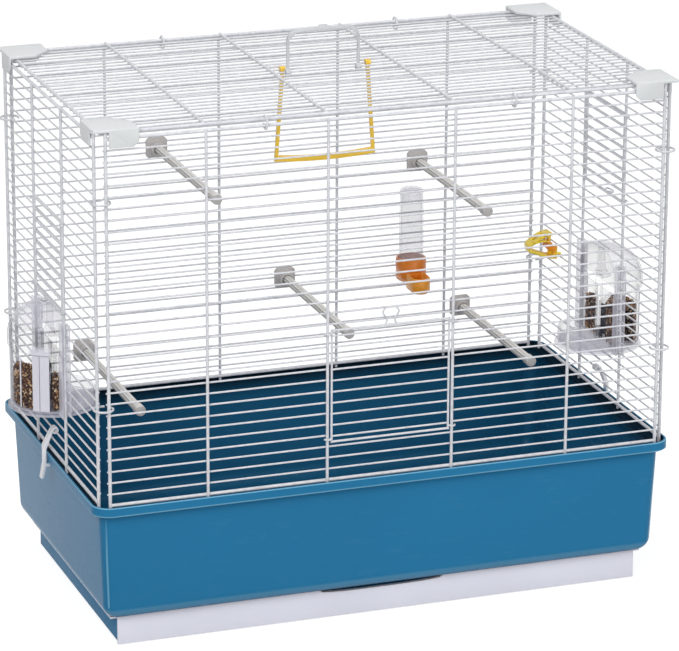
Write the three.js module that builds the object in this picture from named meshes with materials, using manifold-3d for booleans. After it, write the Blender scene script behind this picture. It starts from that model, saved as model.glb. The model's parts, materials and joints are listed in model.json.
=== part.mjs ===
// Wire cage for small birds: a deep tray over a pull-out drawer, five welded wire panels,
// sliding wire doors, two turning seed feeders, a drinker, perches, a swing and a handle.
// Millimetres, +Z up, the front faces -Y, and the origin lies under the middle of the base.

import * as THREE from 'three';
import { mergeVertices } from 'three/addons/utils/BufferGeometryUtils.js';
import Module from 'manifold-3d';

const wasm = await Module();
wasm.setup();

// Overall sizes of the cage
const rimWidth = 590;
const rimDepth = 340;
const rimTop = 150;
const wireRise = 356.5;
const roofLift = 4;

// Clearances between pieces that touch, run or hook over each other
const seatGap = 0.3;
const runGap = 0.5;
const cutOver = 2;

// Wire gauges of the grilles
const thinWire = 1.8;
const crossWire = 3;
const railWire = 3.4;
const doorWire = 2.2;
const hookWire = 1.8;
const ringWire = 2.2;
const weldClear = 0.25;
const weldBite = 0.15;

// Layout of the grilles
const rowCount = 32;
const roofRowCount = 28;
const panelInset = 8;
const cornerGap = 8;
const roofInset = 4.4;
const bottomWireLift = 0.5;
const doorCross = 63.5;
const outerCross = 183;
const drumRadius = 41;
const drumToCross = 9;
const sideCross = drumRadius + drumToCross;
const doorLowRow = 3;
const doorHighRow = 14;
const feederLowRow = 4;
const feederHighRow = 14;
const gateRows = 8;
const rightGateRaisedRows = 5;

// Walls of the moulded pieces
const trayWall = 2.6;
const panWall = 2.5;
const drawerWall = 2;
const clearWall = 2;

// Places worked out from the sizes above
const sideX = rimWidth / 2 - panelInset;
const frontY = rimDepth / 2 - panelInset;
const bottomWireZ = rimTop + bottomWireLift;
const pitch = wireRise / rowCount;
const topWireZ = bottomWireZ + wireRise;
const roofZ = topWireZ + roofLift;
const frontHalfSpan = sideX - cornerGap;
const sideHalfSpan = frontY - cornerGap;
const roofHalfX = sideX - roofInset;
const roofHalfY = frontY - roofInset;
const roofPitch = 2 * roofHalfY / roofRowCount;
const crossStand = thinWire / 2 + weldClear + crossWire / 2;
const rowZ = (row) => bottomWireZ + row * pitch;

// Finishes
const finishes = {
  wireWhite: { color: 0xf1f2f4, roughness: 0.35, metalness: 0.1 },
  trayBlue: { color: 0x2c779f, roughness: 0.3, metalness: 0 },
  drawerGrey: { color: 0xdcdee6, roughness: 0.4, metalness: 0 },
  capGrey: { color: 0xdcdddc, roughness: 0.45, metalness: 0 },
  perchGrey: { color: 0xc6c4bd, roughness: 0.6, metalness: 0 },
  swingYellow: { color: 0xe3ad2b, roughness: 0.4, metalness: 0 },
  nibbleYellow: { color: 0xf0d030, roughness: 0.35, metalness: 0 },
  drinkerOrange: { color: 0xd07a1c, roughness: 0.25, metalness: 0 },
  clearPlastic: { color: 0xe9eff3, roughness: 0.1, metalness: 0 },
  seedBrown: { color: 0x5a3820, roughness: 0.9, metalness: 0 },
  footDark: { color: 0x8a8d92, roughness: 0.8, metalness: 0 },
};

const cage = new THREE.Group();

function addMesh(name, solid, finish, parent = cage) {
  const material = new THREE.MeshStandardMaterial(finishes[finish]);
  const mesh = new THREE.Mesh(geometryOf(solid), material);
  mesh.name = name;
  parent.add(mesh);
  return mesh;
}

// Solids from closed geometries, and back
function solidOf(geometry) {
  const bare = geometry.clone();
  for (const name of Object.keys(bare.attributes)) {
    if (name !== 'position') bare.deleteAttribute(name);
  }
  const merged = mergeVertices(bare);
  const vertProperties = merged.attributes.position.array;
  const corners = merged.index.array;
  const kept = [];
  for (let i = 0; i < corners.length; i += 3) {
    const [a, b, c] = corners.slice(i, i + 3);
    if (a !== b && b !== c && c !== a) kept.push(a, b, c);
  }
  const triVerts = new Uint32Array(kept);
  return new wasm.Manifold(new wasm.Mesh({ numProp: 3, vertProperties, triVerts }));
}

function geometryOf(solid) {
  const mesh = solid.getMesh();
  const geometry = new THREE.BufferGeometry();
  geometry.setAttribute('position', new THREE.BufferAttribute(mesh.vertProperties, 3));
  geometry.setIndex(new THREE.BufferAttribute(mesh.triVerts, 1));
  const flat = geometry.toNonIndexed();
  flat.computeVertexNormals();
  return flat;
}

function join(...solids) {
  return solids.flat().reduce((sum, solid) => sum.add(solid));
}

function cut(solid, ...tools) {
  return tools.flat().reduce((rest, tool) => rest.subtract(tool), solid);
}

// Basic shapes
function block(x0, x1, y0, y1, z0, z1) {
  const geometry = new THREE.BoxGeometry(x1 - x0, y1 - y0, z1 - z0);
  return solidOf(geometry.translate((x0 + x1) / 2, (y0 + y1) / 2, (z0 + z1) / 2));
}

const axisBasis = {
  x: [new THREE.Vector3(0, 1, 0), new THREE.Vector3(0, 0, 1), new THREE.Vector3(1, 0, 0)],
  y: [new THREE.Vector3(0, 0, 1), new THREE.Vector3(1, 0, 0), new THREE.Vector3(0, 1, 0)],
  z: [new THREE.Vector3(1, 0, 0), new THREE.Vector3(0, 1, 0), new THREE.Vector3(0, 0, 1)],
};

// A straight prism: the outline lies across the axis, as (y, z), (z, x) or (x, y)
function prism(outline, axis, from, to, holes = []) {
  const shape = outline instanceof THREE.Shape
    ? outline
    : new THREE.Shape(outline.map(([a, b]) => new THREE.Vector2(a, b)));
  for (const hole of holes) {
    shape.holes.push(new THREE.Path(hole.map(([a, b]) => new THREE.Vector2(a, b))));
  }
  const geometry = new THREE.ExtrudeGeometry(shape, { depth: to - from, bevelEnabled: false });
  geometry.translate(0, 0, from);
  geometry.applyMatrix4(new THREE.Matrix4().makeBasis(...axisBasis[axis]));
  return solidOf(geometry);
}

function polygon(a, b, radius, sides, turn = 0) {
  return Array.from({ length: sides }, (_, i) => {
    const angle = turn + 2 * Math.PI * i / sides;
    return [a + radius * Math.cos(angle), b + radius * Math.sin(angle)];
  });
}

// A round piece about an upright axis at x, y, from a (radius, z) profile that runs round
// its section, out at the bottom and up the outside
function turned(profile, x, y, segments) {
  const closed = [...profile, profile[0]].map(([r, z]) => new THREE.Vector2(r, z));
  const geometry = new THREE.LatheGeometry(closed, segments);
  geometry.rotateX(Math.PI / 2);
  return solidOf(geometry.translate(x, y, 0));
}

// Straight wire drawn six-sided, two of its flats square to the axis named by facing
const wireSides = 6;
function wire(axis, a, b, gauge, from, to, turn = 0) {
  const radius = gauge / 2 / Math.cos(Math.PI / wireSides);
  return prism(polygon(a, b, radius, wireSides, turn), axis, from, to);
}
const flatTurn = Math.PI / wireSides;

// Bent wire along a path of points
class WirePath extends THREE.Curve {
  constructor(pointAt) {
    super();
    this.pointAt = pointAt;
  }

  getPoint(t, target = new THREE.Vector3()) {
    return target.copy(this.pointAt(t));
  }
}

const bentSides = 4;
function bent(path, gauge, steps) {
  const outline = polygon(0, 0, gauge / 2, bentSides, Math.PI / bentSides);
  const shape = new THREE.Shape(outline.map(([a, b]) => new THREE.Vector2(a, b)));
  return solidOf(new THREE.ExtrudeGeometry(shape, { steps, extrudePath: path, bevelEnabled: false }));
}

function smooth(points) {
  return new THREE.CatmullRomCurve3(points.map((p) => new THREE.Vector3(...p)), false, 'centripetal');
}

// The four walls' own frames: x along the wall, -y out of the cage, z up from the bottom wire
function wallFrame(turnShare, distance) {
  const frame = new THREE.Group();
  frame.rotation.z = 2 * Math.PI * turnShare;
  const turn = frame.rotation.z;
  frame.position.set(distance * Math.sin(turn), -distance * Math.cos(turn), bottomWireZ);
  cage.add(frame);
  return frame;
}

const quarterTurnShare = 0.25;
const frontWall = wallFrame(0, frontY);
const rightWall = wallFrame(quarterTurnShare, sideX);
const backWall = wallFrame(2 * quarterTurnShare, frontY);
const leftWall = wallFrame(-quarterTurnShare, sideX);

// Tray: one moulding, open below to the drawer, with a rolled rim and a ledge for the panels
const trayFoot = 30;
const rimHeight = 9.5;
const rimLip = 2.4;
const rimRound = 0.8;
const ledgeDrop = 5;
const wallInset = 8;
const wallTaper = 4;
const trayRound = 15;
const trayFlange = 12;
const rimCornerRadius = 18;
const cornerSteps = 4;

function roundedLoop(halfX, halfY, radius, z) {
  const loop = [];
  for (let corner = 0; corner < 4; corner += 1) {
    const start = corner * Math.PI / 2;
    const sx = corner === 0 || corner === 3 ? 1 : -1;
    const sy = corner < 2 ? 1 : -1;
    for (let step = 0; step <= cornerSteps; step += 1) {
      const angle = start + step * Math.PI / 2 / cornerSteps;
      loop.push(new THREE.Vector3(
        sx * (halfX - radius) + radius * Math.cos(angle),
        sy * (halfY - radius) + radius * Math.sin(angle),
        z,
      ));
    }
  }
  return loop;
}

function ringLoft(loops) {
  const count = loops[0].length;
  const positions = loops.flat().flatMap((p) => [p.x, p.y, p.z]);
  const index = [];
  loops.forEach((_, i) => {
    const next = (i + 1) % loops.length;
    for (let j = 0; j < count; j += 1) {
      const k = (j + 1) % count;
      index.push(i * count + j, i * count + k, next * count + k);
      index.push(i * count + j, next * count + k, next * count + j);
    }
  });
  const geometry = new THREE.BufferGeometry();
  geometry.setAttribute('position', new THREE.Float32BufferAttribute(positions, 3));
  geometry.setIndex(index);
  return solidOf(geometry);
}

function traySolid() {
  const rimFoot = rimTop - rimHeight;
  const wallFoot = wallInset + wallTaper;
  const ledge = rimTop - ledgeDrop;
  const innerTop = panelInset + wallInset / 2;
  const roundSteps = 3;
  const outer = [];
  for (let step = 0; step <= roundSteps; step += 1) {
    const angle = step * Math.PI / 2 / roundSteps;
    outer.push([wallFoot + trayRound * (1 - Math.sin(angle)), trayFoot + trayRound * (1 - Math.cos(angle))]);
  }
  const inner = outer.map(([inset, z]) => [inset + trayWall, z + trayWall]).reverse();
  const flangeEdge = wallFoot + trayRound + trayFlange;
  const profile = [
    [flangeEdge, trayFoot],
    ...outer,
    [wallInset, rimFoot + rimLip],
    [rimLip, rimFoot + rimLip],
    [rimLip, rimFoot],
    [0, rimFoot],
    [0, rimTop - rimRound],
    [rimRound, rimTop],
    [rimLip, rimTop],
    [rimLip, ledge],
    [innerTop, ledge],
    ...inner,
    [flangeEdge, trayFoot + trayWall],
  ];
  return ringLoft(profile.map(([inset, z]) => {
    const radius = Math.max(rimCornerRadius - inset / 2, trayWall);
    return roundedLoop(rimWidth / 2 - inset, rimDepth / 2 - inset, radius, z);
  }));
}

addMesh('tray', traySolid(), 'trayBlue');

// Base pan: three walls and a floor, its front closed by the drawer, on four feet
const footHeight = 2.2;
const footRadius = 7;
const panSideInset = 28;
const panFrontInset = 29;
const panBackInset = 38;
const panHalfX = rimWidth / 2 - panSideInset;
const panFrontY = rimDepth / 2 - panFrontInset;
const panBackY = rimDepth / 2 - panBackInset;
const footSideInset = 27;
const footEndInset = 18;
const panPostInset = 37;
const panPostX = panHalfX - panPostInset;
const panPostHalf = 6;
const panRibHeight = 1.2;
const panRibInset = 3;
const flangeReach = 8;
const flangeThick = 1.9;
const drawerFlangeTop = trayFoot - seatGap;
const panFoot = footHeight + seatGap;
const panTop = drawerFlangeTop - flangeThick - seatGap;
const panRibTop = panFoot + panWall + panRibHeight;

function basePanSolid() {
  const shell = cut(
    block(-panHalfX, panHalfX, -panFrontY, panBackY, panFoot, panTop),
    block(-panHalfX + panWall, panHalfX - panWall, -panFrontY - cutOver, panBackY - panWall,
      panFoot + panWall, panTop + cutOver),
  );
  const posts = [-1, 1].map((side) => block(
    side * panPostX - panPostHalf,
    side * panPostX + panPostHalf,
    panBackY - panWall / 2,
    panBackY + panPostHalf,
    panFoot,
    trayFoot - seatGap,
  ));
  const ribs = [-1, 1].map((side) => block(
    side * panPostX - panWall / 2,
    side * panPostX + panWall / 2,
    -panFrontY + panRibInset,
    panBackY - panWall / 2,
    panFoot + panWall / 2,
    panRibTop,
  ));
  return join(shell, posts, ribs);
}

addMesh('base_pan', basePanSolid(), 'trayBlue');

const footSides = 12;
for (const [name, x, y] of [
  ['foot_front_left', -panHalfX + footSideInset, -panFrontY + footEndInset],
  ['foot_front_right', panHalfX - footSideInset, -panFrontY + footEndInset],
  ['foot_back_left', -panHalfX + footSideInset, panBackY - footEndInset],
  ['foot_back_right', panHalfX - footSideInset, panBackY - footEndInset],
]) {
  const chamfer = footHeight / 2;
  const profile = [
    [0, 0],
    [footRadius - chamfer, 0],
    [footRadius, chamfer],
    [footRadius, footHeight],
    [0, footHeight],
  ];
  addMesh(name, turned(profile, x, y, footSides), 'footDark');
}

// Drawer: a low tray on side flanges, with a front board that has a finger scoop
const drawerFrontStand = 4;
const drawerFrontThick = 3;
const drawerFrontOverhang = 1;
const drawerFrontY = panFrontY + drawerFrontStand;
const drawerFrontHalfX = panHalfX + drawerFrontOverhang;
const drawerFrontFoot = 1.2;
const scoopHalf = 64;
const scoopDepth = 6.5;
const scoopSteps = 10;

function drawerSolid() {
  const bodyX = panHalfX - panWall - runGap;
  const bodyBack = panBackY - panWall - runGap;
  const bodyFoot = panRibTop + seatGap;
  const flangeFoot = drawerFlangeTop - flangeThick;
  const board = drawerFrontY - drawerFrontThick;
  const body = cut(
    block(-bodyX, bodyX, -board - drawerFrontThick / 2, bodyBack, bodyFoot, drawerFlangeTop),
    block(-bodyX + drawerWall, bodyX - drawerWall, -board + drawerWall, bodyBack - drawerWall,
      bodyFoot + drawerWall, drawerFlangeTop + cutOver),
  );
  const flanges = [-1, 1].map((side) => {
    const edges = [side * (bodyX - drawerWall / 2), side * (panHalfX + flangeReach)];
    edges.sort((a, b) => a - b);
    return block(...edges, -board - drawerFrontThick / 2, bodyBack, flangeFoot, drawerFlangeTop);
  });
  const scoop = Array.from({ length: scoopSteps + 1 }, (_, i) => {
    const angle = Math.PI * i / scoopSteps;
    return [drawerFlangeTop - scoopDepth * Math.sqrt(Math.sin(angle)), -scoopHalf * Math.cos(angle)];
  });
  const front = prism([
    [drawerFrontFoot, -drawerFrontHalfX],
    [drawerFlangeTop, -drawerFrontHalfX],
    ...scoop,
    [drawerFlangeTop, drawerFrontHalfX],
    [drawerFrontFoot, drawerFrontHalfX],
  ].reverse(), 'y', -drawerFrontY, -board);
  const scoopCut = prism([
    ...scoop,
    [drawerFlangeTop + cutOver, scoopHalf],
    [drawerFlangeTop + cutOver, -scoopHalf],
  ], 'y', -drawerFrontY - cutOver, -board + drawerWall + cutOver);
  return join(cut(body, scoopCut), flanges, front);
}

addMesh('drawer', drawerSolid(), 'drawerGrey');

// Welded wire panel: heavy perimeter wires, thin wires across them and cross wires outside.
// A thin wire cut short by a window runs slightly outwards and ends on the window's cross wire.
function wirePanel({ halfSpan, rise, rows, crosses, foot, head, window }) {
  const step = rise / rows;
  const uprights = [-halfSpan, halfSpan].map((x) => (
    wire('z', x, 0, railWire, -foot, rise + head, flatTurn)
  ));
  const rails = [0, rise].map((z) => wire('x', 0, z, railWire, -halfSpan, halfSpan, flatTurn));
  const bars = crosses.flatMap((x) => [-x, x]).map((x) => (
    wire('z', x, -crossStand, crossWire, -foot, rise + crossWire / 2)
  ));
  const thin = [];
  for (let row = 1; row < rows; row += 1) {
    const low = row * step - thinWire / 2;
    const high = row * step + thinWire / 2;
    if (!window || row <= window.lowRow || row >= window.highRow) {
      thin.push(block(-halfSpan, halfSpan, -thinWire / 2, thinWire / 2, low, high));
    } else {
      for (const side of [-1, 1]) {
        const outline = [
          [side * window.cross, -thinWire / 2 - weldClear - weldBite],
          [side * halfSpan, -thinWire / 2],
          [side * halfSpan, thinWire / 2],
          [side * window.cross, thinWire / 2 - weldClear - weldBite],
        ];
        thin.push(prism(side > 0 ? outline : outline.reverse(), 'z', low, high));
      }
    }
  }
  return join(uprights, rails, bars, thin);
}

const panelFoot = bottomWireLift + ledgeDrop - seatGap;
const capThick = 3;
const capUnder = 2.6;
const panelHead = roofLift + capUnder - seatGap;
const wallPanel = { rise: wireRise, rows: rowCount, foot: panelFoot, head: panelHead };

addMesh('front_panel', wirePanel({
  ...wallPanel,
  halfSpan: frontHalfSpan,
  crosses: [doorCross, outerCross],
  window: { cross: doorCross, lowRow: doorLowRow, highRow: doorHighRow },
}), 'wireWhite', frontWall);

addMesh('back_panel', wirePanel({
  ...wallPanel,
  halfSpan: frontHalfSpan,
  crosses: [doorCross, outerCross],
}), 'wireWhite', backWall);

for (const [name, wall] of [['left_panel', leftWall], ['right_panel', rightWall]]) {
  addMesh(name, wirePanel({
    ...wallPanel,
    halfSpan: sideHalfSpan,
    crosses: [sideCross],
    window: { cross: sideCross, lowRow: feederLowRow, highRow: feederHighRow },
  }), 'wireWhite', wall);
}

const roofFrame = new THREE.Group();
roofFrame.rotation.x = -Math.PI / 2;
roofFrame.position.set(0, -roofHalfY, roofZ);
cage.add(roofFrame);
addMesh('roof_panel', wirePanel({
  halfSpan: roofHalfX,
  rise: 2 * roofHalfY,
  rows: roofRowCount,
  crosses: [doorCross, outerCross],
  foot: 0,
  head: 0,
}), 'wireWhite', roofFrame);

// Corner caps: a plate over two flaps, open at the corner where the panels' uprights come up
const capLeg = 44;
const capEnd = 27;
const capReach = 4.4;
const capFlapThick = 2;
const capFlapHeight = 18;
const capFlapRound = 5;
const capOpening = 2.6;

function capSolid() {
  const plateFoot = roofZ + capUnder;
  const plateTop = plateFoot + capThick;
  const plate = prism([
    [0, 0],
    [capLeg, 0],
    [capLeg, capEnd],
    [capEnd, capLeg],
    [0, capLeg],
  ], 'z', plateFoot, plateTop);
  const flapStart = capReach + cornerGap + capOpening;
  const flapFoot = plateTop - capFlapHeight;
  const flap = [
    [plateTop, flapStart],
    [plateTop, capLeg],
    [flapFoot + capFlapRound, capLeg],
    [flapFoot, capLeg - capFlapRound],
    [flapFoot, flapStart],
  ];
  const frontFlap = prism(flap, 'y', 0, capFlapThick);
  const sideFlap = prism(flap.map(([z, y]) => [y, z]).reverse(), 'x', 0, capFlapThick);
  return join(plate, frontFlap, sideFlap);
}

const cap = capSolid();
[
  ['cap_front_left', -1, -1],
  ['cap_front_right', 1, -1],
  ['cap_back_right', 1, 1],
  ['cap_back_left', -1, 1],
].forEach(([name, sideSignX, sideSignY], corner) => {
  const mesh = addMesh(name, cap, 'capGrey');
  mesh.rotation.z = corner * Math.PI / 2;
  mesh.position.set(sideSignX * (sideX + capReach), sideSignY * (frontY + capReach), 0);
});

// Open rings of wire that tie two neighbouring wires together
const ringSteps = 9;
const ringOpening = Math.PI / 4;

function openRing(radius, openAt) {
  const sweep = 2 * Math.PI - ringOpening;
  const path = new WirePath((t) => {
    const angle = openAt + ringOpening / 2 + t * sweep;
    return new THREE.Vector3(radius * Math.cos(angle), radius * Math.sin(angle), 0);
  });
  return bent(path, ringWire, ringSteps);
}

const wireReach = railWire / 2 / Math.cos(Math.PI / wireSides);
const ringClear = wireReach + seatGap + ringWire / 2;
const cornerRingRadius = cornerGap * Math.SQRT1_2 + ringClear;
const upperRingRow = 26.5;
const lowerRingRow = 8.5;

for (const [level, row] of [['upper', upperRingRow], ['lower', lowerRingRow]]) {
  for (const [corner, sx, sy] of [
    ['front_left', -1, -1], ['front_right', 1, -1], ['back_right', 1, 1], ['back_left', -1, 1],
  ]) {
    const ring = openRing(cornerRingRadius, Math.atan2(-sy, -sx));
    const mesh = addMesh(`ring_${level}_${corner}`, ring, 'wireWhite');
    mesh.position.set(sx * (sideX - cornerGap / 2), sy * (frontY - cornerGap / 2), rowZ(row));
  }
}

const roofRingX = 124;
const roofRingRadius = Math.hypot(roofInset, roofLift) / 2 + ringClear;
for (const [name, sx, sy] of [
  ['ring_roof_front_left', -1, -1], ['ring_roof_front_right', 1, -1],
  ['ring_roof_back_left', -1, 1], ['ring_roof_back_right', 1, 1],
]) {
  const mesh = addMesh(name, openRing(roofRingRadius, 0), 'wireWhite');
  mesh.rotation.set(Math.PI / 2, 0, Math.PI / 2, 'ZXY');
  mesh.position.set(sx * roofRingX, sy * (frontY - roofInset / 2), topWireZ + roofLift / 2);
}

// Sliding wire door: side wires, thin wires, edge wires, hooks round the cross wires, a finger loop
const doorStand = thinWire / 2 + weldClear + weldBite + seatGap + doorWire / 2;
const crossReach = crossWire / 2 / Math.cos(Math.PI / wireSides);
const hookRadius = crossReach + seatGap + hookWire / 2;
const hookSteps = 5;
const hookInset = 4;
const pullSteps = 12;
const pullHalf = 6;
const pullBulge = 4;
const pullNeckShare = 0.35;
const doorPullRise = 18;
const gatePullReach = 9;

function doorHook(side, cross, z) {
  const start = new THREE.Vector3(side * (cross - hookRadius - doorWire / 2), -crossStand, z);
  const path = new WirePath((t) => {
    const lead = 1 / hookSteps;
    if (t < lead) {
      const arm = new THREE.Vector3(side * (cross - hookRadius), -crossStand, z);
      return start.clone().lerp(arm, t / lead);
    }
    const angle = Math.PI * (t - lead) / (1 - lead);
    return new THREE.Vector3(
      side * (cross - hookRadius * Math.cos(angle)),
      -crossStand - hookRadius * Math.sin(angle),
      z,
    );
  });
  return bent(path, hookWire, hookSteps);
}

// An omega of wire on the edge wire at z, standing up by rise or out by reach
function fingerLoop(z, rise, reach) {
  const shoulderShare = (pullNeckShare + 1) / 2;
  const half = [
    [pullHalf, 0],
    [pullHalf - pullBulge / 2, pullNeckShare],
    [pullHalf + pullBulge / 2, shoulderShare],
    [pullHalf / 2, 1],
  ];
  const outline = [...half, ...half.map(([x, share]) => [-x, share]).reverse()];
  const points = outline.map(([x, share]) => [x, -doorStand - reach * share, z + rise * share]);
  return bent(smooth(points), hookWire, pullSteps);
}

function wireDoor({ cross, low, high, rows, pull }) {
  const halfWidth = cross - hookRadius - doorWire / 2;
  const sides = [-halfWidth, halfWidth].map((x) => block(
    x - doorWire / 2, x + doorWire / 2, -doorStand - doorWire / 2, -doorStand + doorWire / 2, low, high,
  ));
  const edges = [low + doorWire / 2, high - doorWire / 2].map((z) => (
    wire('x', -doorStand, z, doorWire, -halfWidth, halfWidth, flatTurn)
  ));
  const thin = rows.map((row) => {
    const z = row * pitch;
    return block(-halfWidth, halfWidth, -doorStand - thinWire / 2, -doorStand + thinWire / 2,
      z - thinWire / 2, z + thinWire / 2);
  });
  const hooks = [low + hookInset, high - hookInset].flatMap((z) => (
    [-1, 1].map((side) => doorHook(side, cross, z))
  ));
  return join(sides, edges, thin, hooks, pull);
}

const rowsBetween = (low, high) => Array.from({ length: high - low - 1 }, (_, i) => low + 1 + i);
const doorEdgeShare = 0.4;
const gateEdgeShare = 0.25;
const doorTop = (doorHighRow - doorEdgeShare) * pitch;

addMesh('front_door', wireDoor({
  cross: doorCross,
  low: (doorLowRow + doorEdgeShare) * pitch,
  high: doorTop,
  rows: rowsBetween(doorLowRow, doorHighRow),
  pull: fingerLoop(doorTop - doorWire / 2, doorPullRise, 0),
}), 'wireWhite', frontWall);

// Side gates ride above the feeders and close the feeders' windows when these are taken out
const sideGates = [
  ['left_gate', leftWall, 0],
  ['right_gate', rightWall, rightGateRaisedRows],
];
for (const [name, wall, lift] of sideGates) {
  const row = feederHighRow + lift;
  const low = (row - gateEdgeShare) * pitch;
  addMesh(name, wireDoor({
    cross: sideCross,
    low,
    high: (row + gateRows + gateEdgeShare) * pitch,
    rows: rowsBetween(row, row + gateRows),
    pull: fingerLoop(low + doorWire / 2, 0, gatePullReach),
  }), 'wireWhite', wall);
}

// Turning feeders: a clear frame in the side window, half a dome outside it, and a drum with
// three seed bins that turns on the dome's axis
const drumRise = 53;
const drumHeight = 58.5;
const drumTop = rimTop + drumRise + drumHeight;
const drumFoot = rimTop + drumRise;
const frameFoot = drumFoot - clearWall - runGap - seatGap * 2;
const hoodClear = 10;
const hoodFoot = drumTop + hoodClear;
const hoodTop = bottomWireZ + (feederHighRow - gateEdgeShare) * pitch - runGap;
const hoodStandOff = 3;
const hoodRadius = drumRadius + hoodStandOff;
const hoodRimClear = 1;
const hoodRim = drumTop + hoodRimClear;
const hoodRound = 31.5;
const hoodRoundSteps = 6;
const postRise = 23.5;
const postTop = hoodFoot + postRise;
const bossRadius = 12;
const bossNeckRadius = 6;
const bossHeight = 9;
const postFlange = 1.7;
const postFlangeReach = 3;
const axleRadius = 2.6;
const axleLength = 5;
const columnRadius = 4;
const troughLip = 14;
const seedDrop = 12;
const seedSlotHeight = 9;
const seedSlotCount = 2;
const feederSegments = 20;
const channelFromTurn = 0.055;
const channelToTurn = 0.12;
const halfTurn = 0.5;
const local = (z) => z - bottomWireZ;

// A filled dome from the wall's axis out to the hood's outline, less the thickness given
function domeSolid(thick) {
  const centre = hoodRadius - hoodRound;
  const arc = Array.from({ length: hoodRoundSteps + 1 }, (_, i) => {
    const angle = Math.PI / 2 * i / hoodRoundSteps;
    const radius = hoodRound - thick;
    return [centre + radius * Math.cos(angle), local(hoodTop) - hoodRound + radius * Math.sin(angle)];
  });
  const foot = local(hoodRim) - (thick ? cutOver : 0);
  const outline = [[0, foot], [hoodRadius - thick, foot], ...arc, [0, local(hoodTop) - thick]];
  return turned(outline, 0, 0, feederSegments);
}

function feederFrameSolid() {
  const foot = local(frameFoot);
  const web = sideCross - crossReach - seatGap;
  const back = thinWire / 2 + seatGap;
  const front = -crossStand - crossWire / 2 - seatGap;
  const plate = turned([[0, foot], [hoodRadius, foot], [hoodRadius, foot + clearWall], [0, foot + clearWall]],
    0, 0, feederSegments);
  const inside = block(-hoodRadius - cutOver, hoodRadius + cutOver, back + postFlange, hoodRadius + cutOver,
    local(hoodRim) - cutOver, local(hoodTop) + cutOver);
  const arch = block(-hoodRadius - cutOver, hoodRadius + cutOver, back, back + postFlange,
    local(hoodFoot), local(hoodTop)).intersect(domeSolid(0));
  const hood = join(cut(domeSolid(0), domeSolid(clearWall), inside), arch);
  const posts = [-1, 1].map((side) => {
    const outline = [
      [drumRadius + runGap, front - postFlange],
      [sideCross + postFlangeReach, front - postFlange],
      [sideCross + postFlangeReach, front],
      [web, front],
      [web, back],
      [sideCross + postFlangeReach, back],
      [sideCross + postFlangeReach, back + postFlange],
      [drumRadius + runGap, back + postFlange],
    ].map(([x, y]) => [side * x, y]);
    return prism(side > 0 ? outline : outline.reverse(), 'z', foot, local(postTop));
  });
  const boss = turned([
    [0, local(hoodFoot)],
    [bossRadius, local(hoodFoot)],
    [bossNeckRadius, local(hoodFoot) + bossHeight],
    [bossNeckRadius, local(hoodTop) - clearWall],
    [0, local(hoodTop) - clearWall],
  ], 0, 0, feederSegments / 2);
  const socketTop = local(hoodFoot) + axleLength + seatGap;
  const socket = turned([
    [0, local(drumTop)],
    [axleRadius + seatGap, local(drumTop)],
    [axleRadius + seatGap, socketTop],
    [0, socketTop],
  ], 0, 0, feederSegments / 2);
  const footPin = turned([
    [0, foot + clearWall / 2],
    [axleRadius, foot + clearWall / 2],
    [axleRadius, local(drumFoot) + clearWall - seatGap],
    [0, local(drumFoot) + clearWall - seatGap],
  ], 0, 0, feederSegments / 2);
  return join(cut(join(plate, hood, posts, boss), socket), footPin);
}

// An upright wall from the drum's axis out to its ring, turned about the axis
function radialWall(turn, reach, foot, top) {
  const geometry = new THREE.BoxGeometry(reach, clearWall, top - foot);
  geometry.translate(reach / 2, 0, (foot + top) / 2);
  return solidOf(geometry.rotateZ(2 * Math.PI * turn));
}

function feederDrumSolid() {
  const foot = local(drumFoot);
  const top = local(drumTop);
  const floor = turned([[0, foot], [drumRadius, foot], [drumRadius, foot + clearWall], [0, foot + clearWall]],
    0, 0, feederSegments);
  const ring = (height, outwards) => {
    const tube = turned([
      [drumRadius - clearWall, foot + clearWall / 2],
      [drumRadius, foot + clearWall / 2],
      [drumRadius, height],
      [drumRadius - clearWall, height],
    ], 0, 0, feederSegments);
    const past = drumRadius + cutOver;
    const half = outwards
      ? block(-past, past, -past, 0, foot, top + cutOver)
      : block(-past, past, -clearWall / 2, past, foot, top + cutOver);
    return tube.intersect(half);
  };
  const wallReach = drumRadius - clearWall / 2;
  const slotHalf = wallReach / seedSlotCount / 2;
  const back = cut(
    block(-wallReach, wallReach, -clearWall / 2, clearWall / 2, foot + clearWall / 2, top),
    [-1, 1].map((side) => block(
      side * wallReach / 2 - slotHalf,
      side * wallReach / 2 + slotHalf,
      -clearWall,
      clearWall,
      foot + clearWall,
      foot + clearWall + seedSlotHeight,
    )),
  );
  const dividers = [channelFromTurn, channelToTurn, halfTurn - channelToTurn, halfTurn - channelFromTurn]
    .map((turn) => radialWall(-turn, wallReach, foot + clearWall / 2, top));
  const shoulder = local(hoodFoot) - seatGap;
  const column = turned([
    [0, foot + clearWall / 2],
    [columnRadius, foot + clearWall / 2],
    [columnRadius, shoulder],
    [axleRadius, shoulder],
    [axleRadius, local(hoodFoot) + axleLength],
    [0, local(hoodFoot) + axleLength],
  ], 0, 0, feederSegments / 2);
  const socket = turned([
    [0, foot - cutOver],
    [axleRadius + seatGap, foot - cutOver],
    [axleRadius + seatGap, foot + clearWall],
    [0, foot + clearWall],
  ], 0, 0, feederSegments / 2);
  return cut(join(floor, ring(top, true), ring(foot + troughLip, false), back, dividers, column), socket);
}

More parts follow.
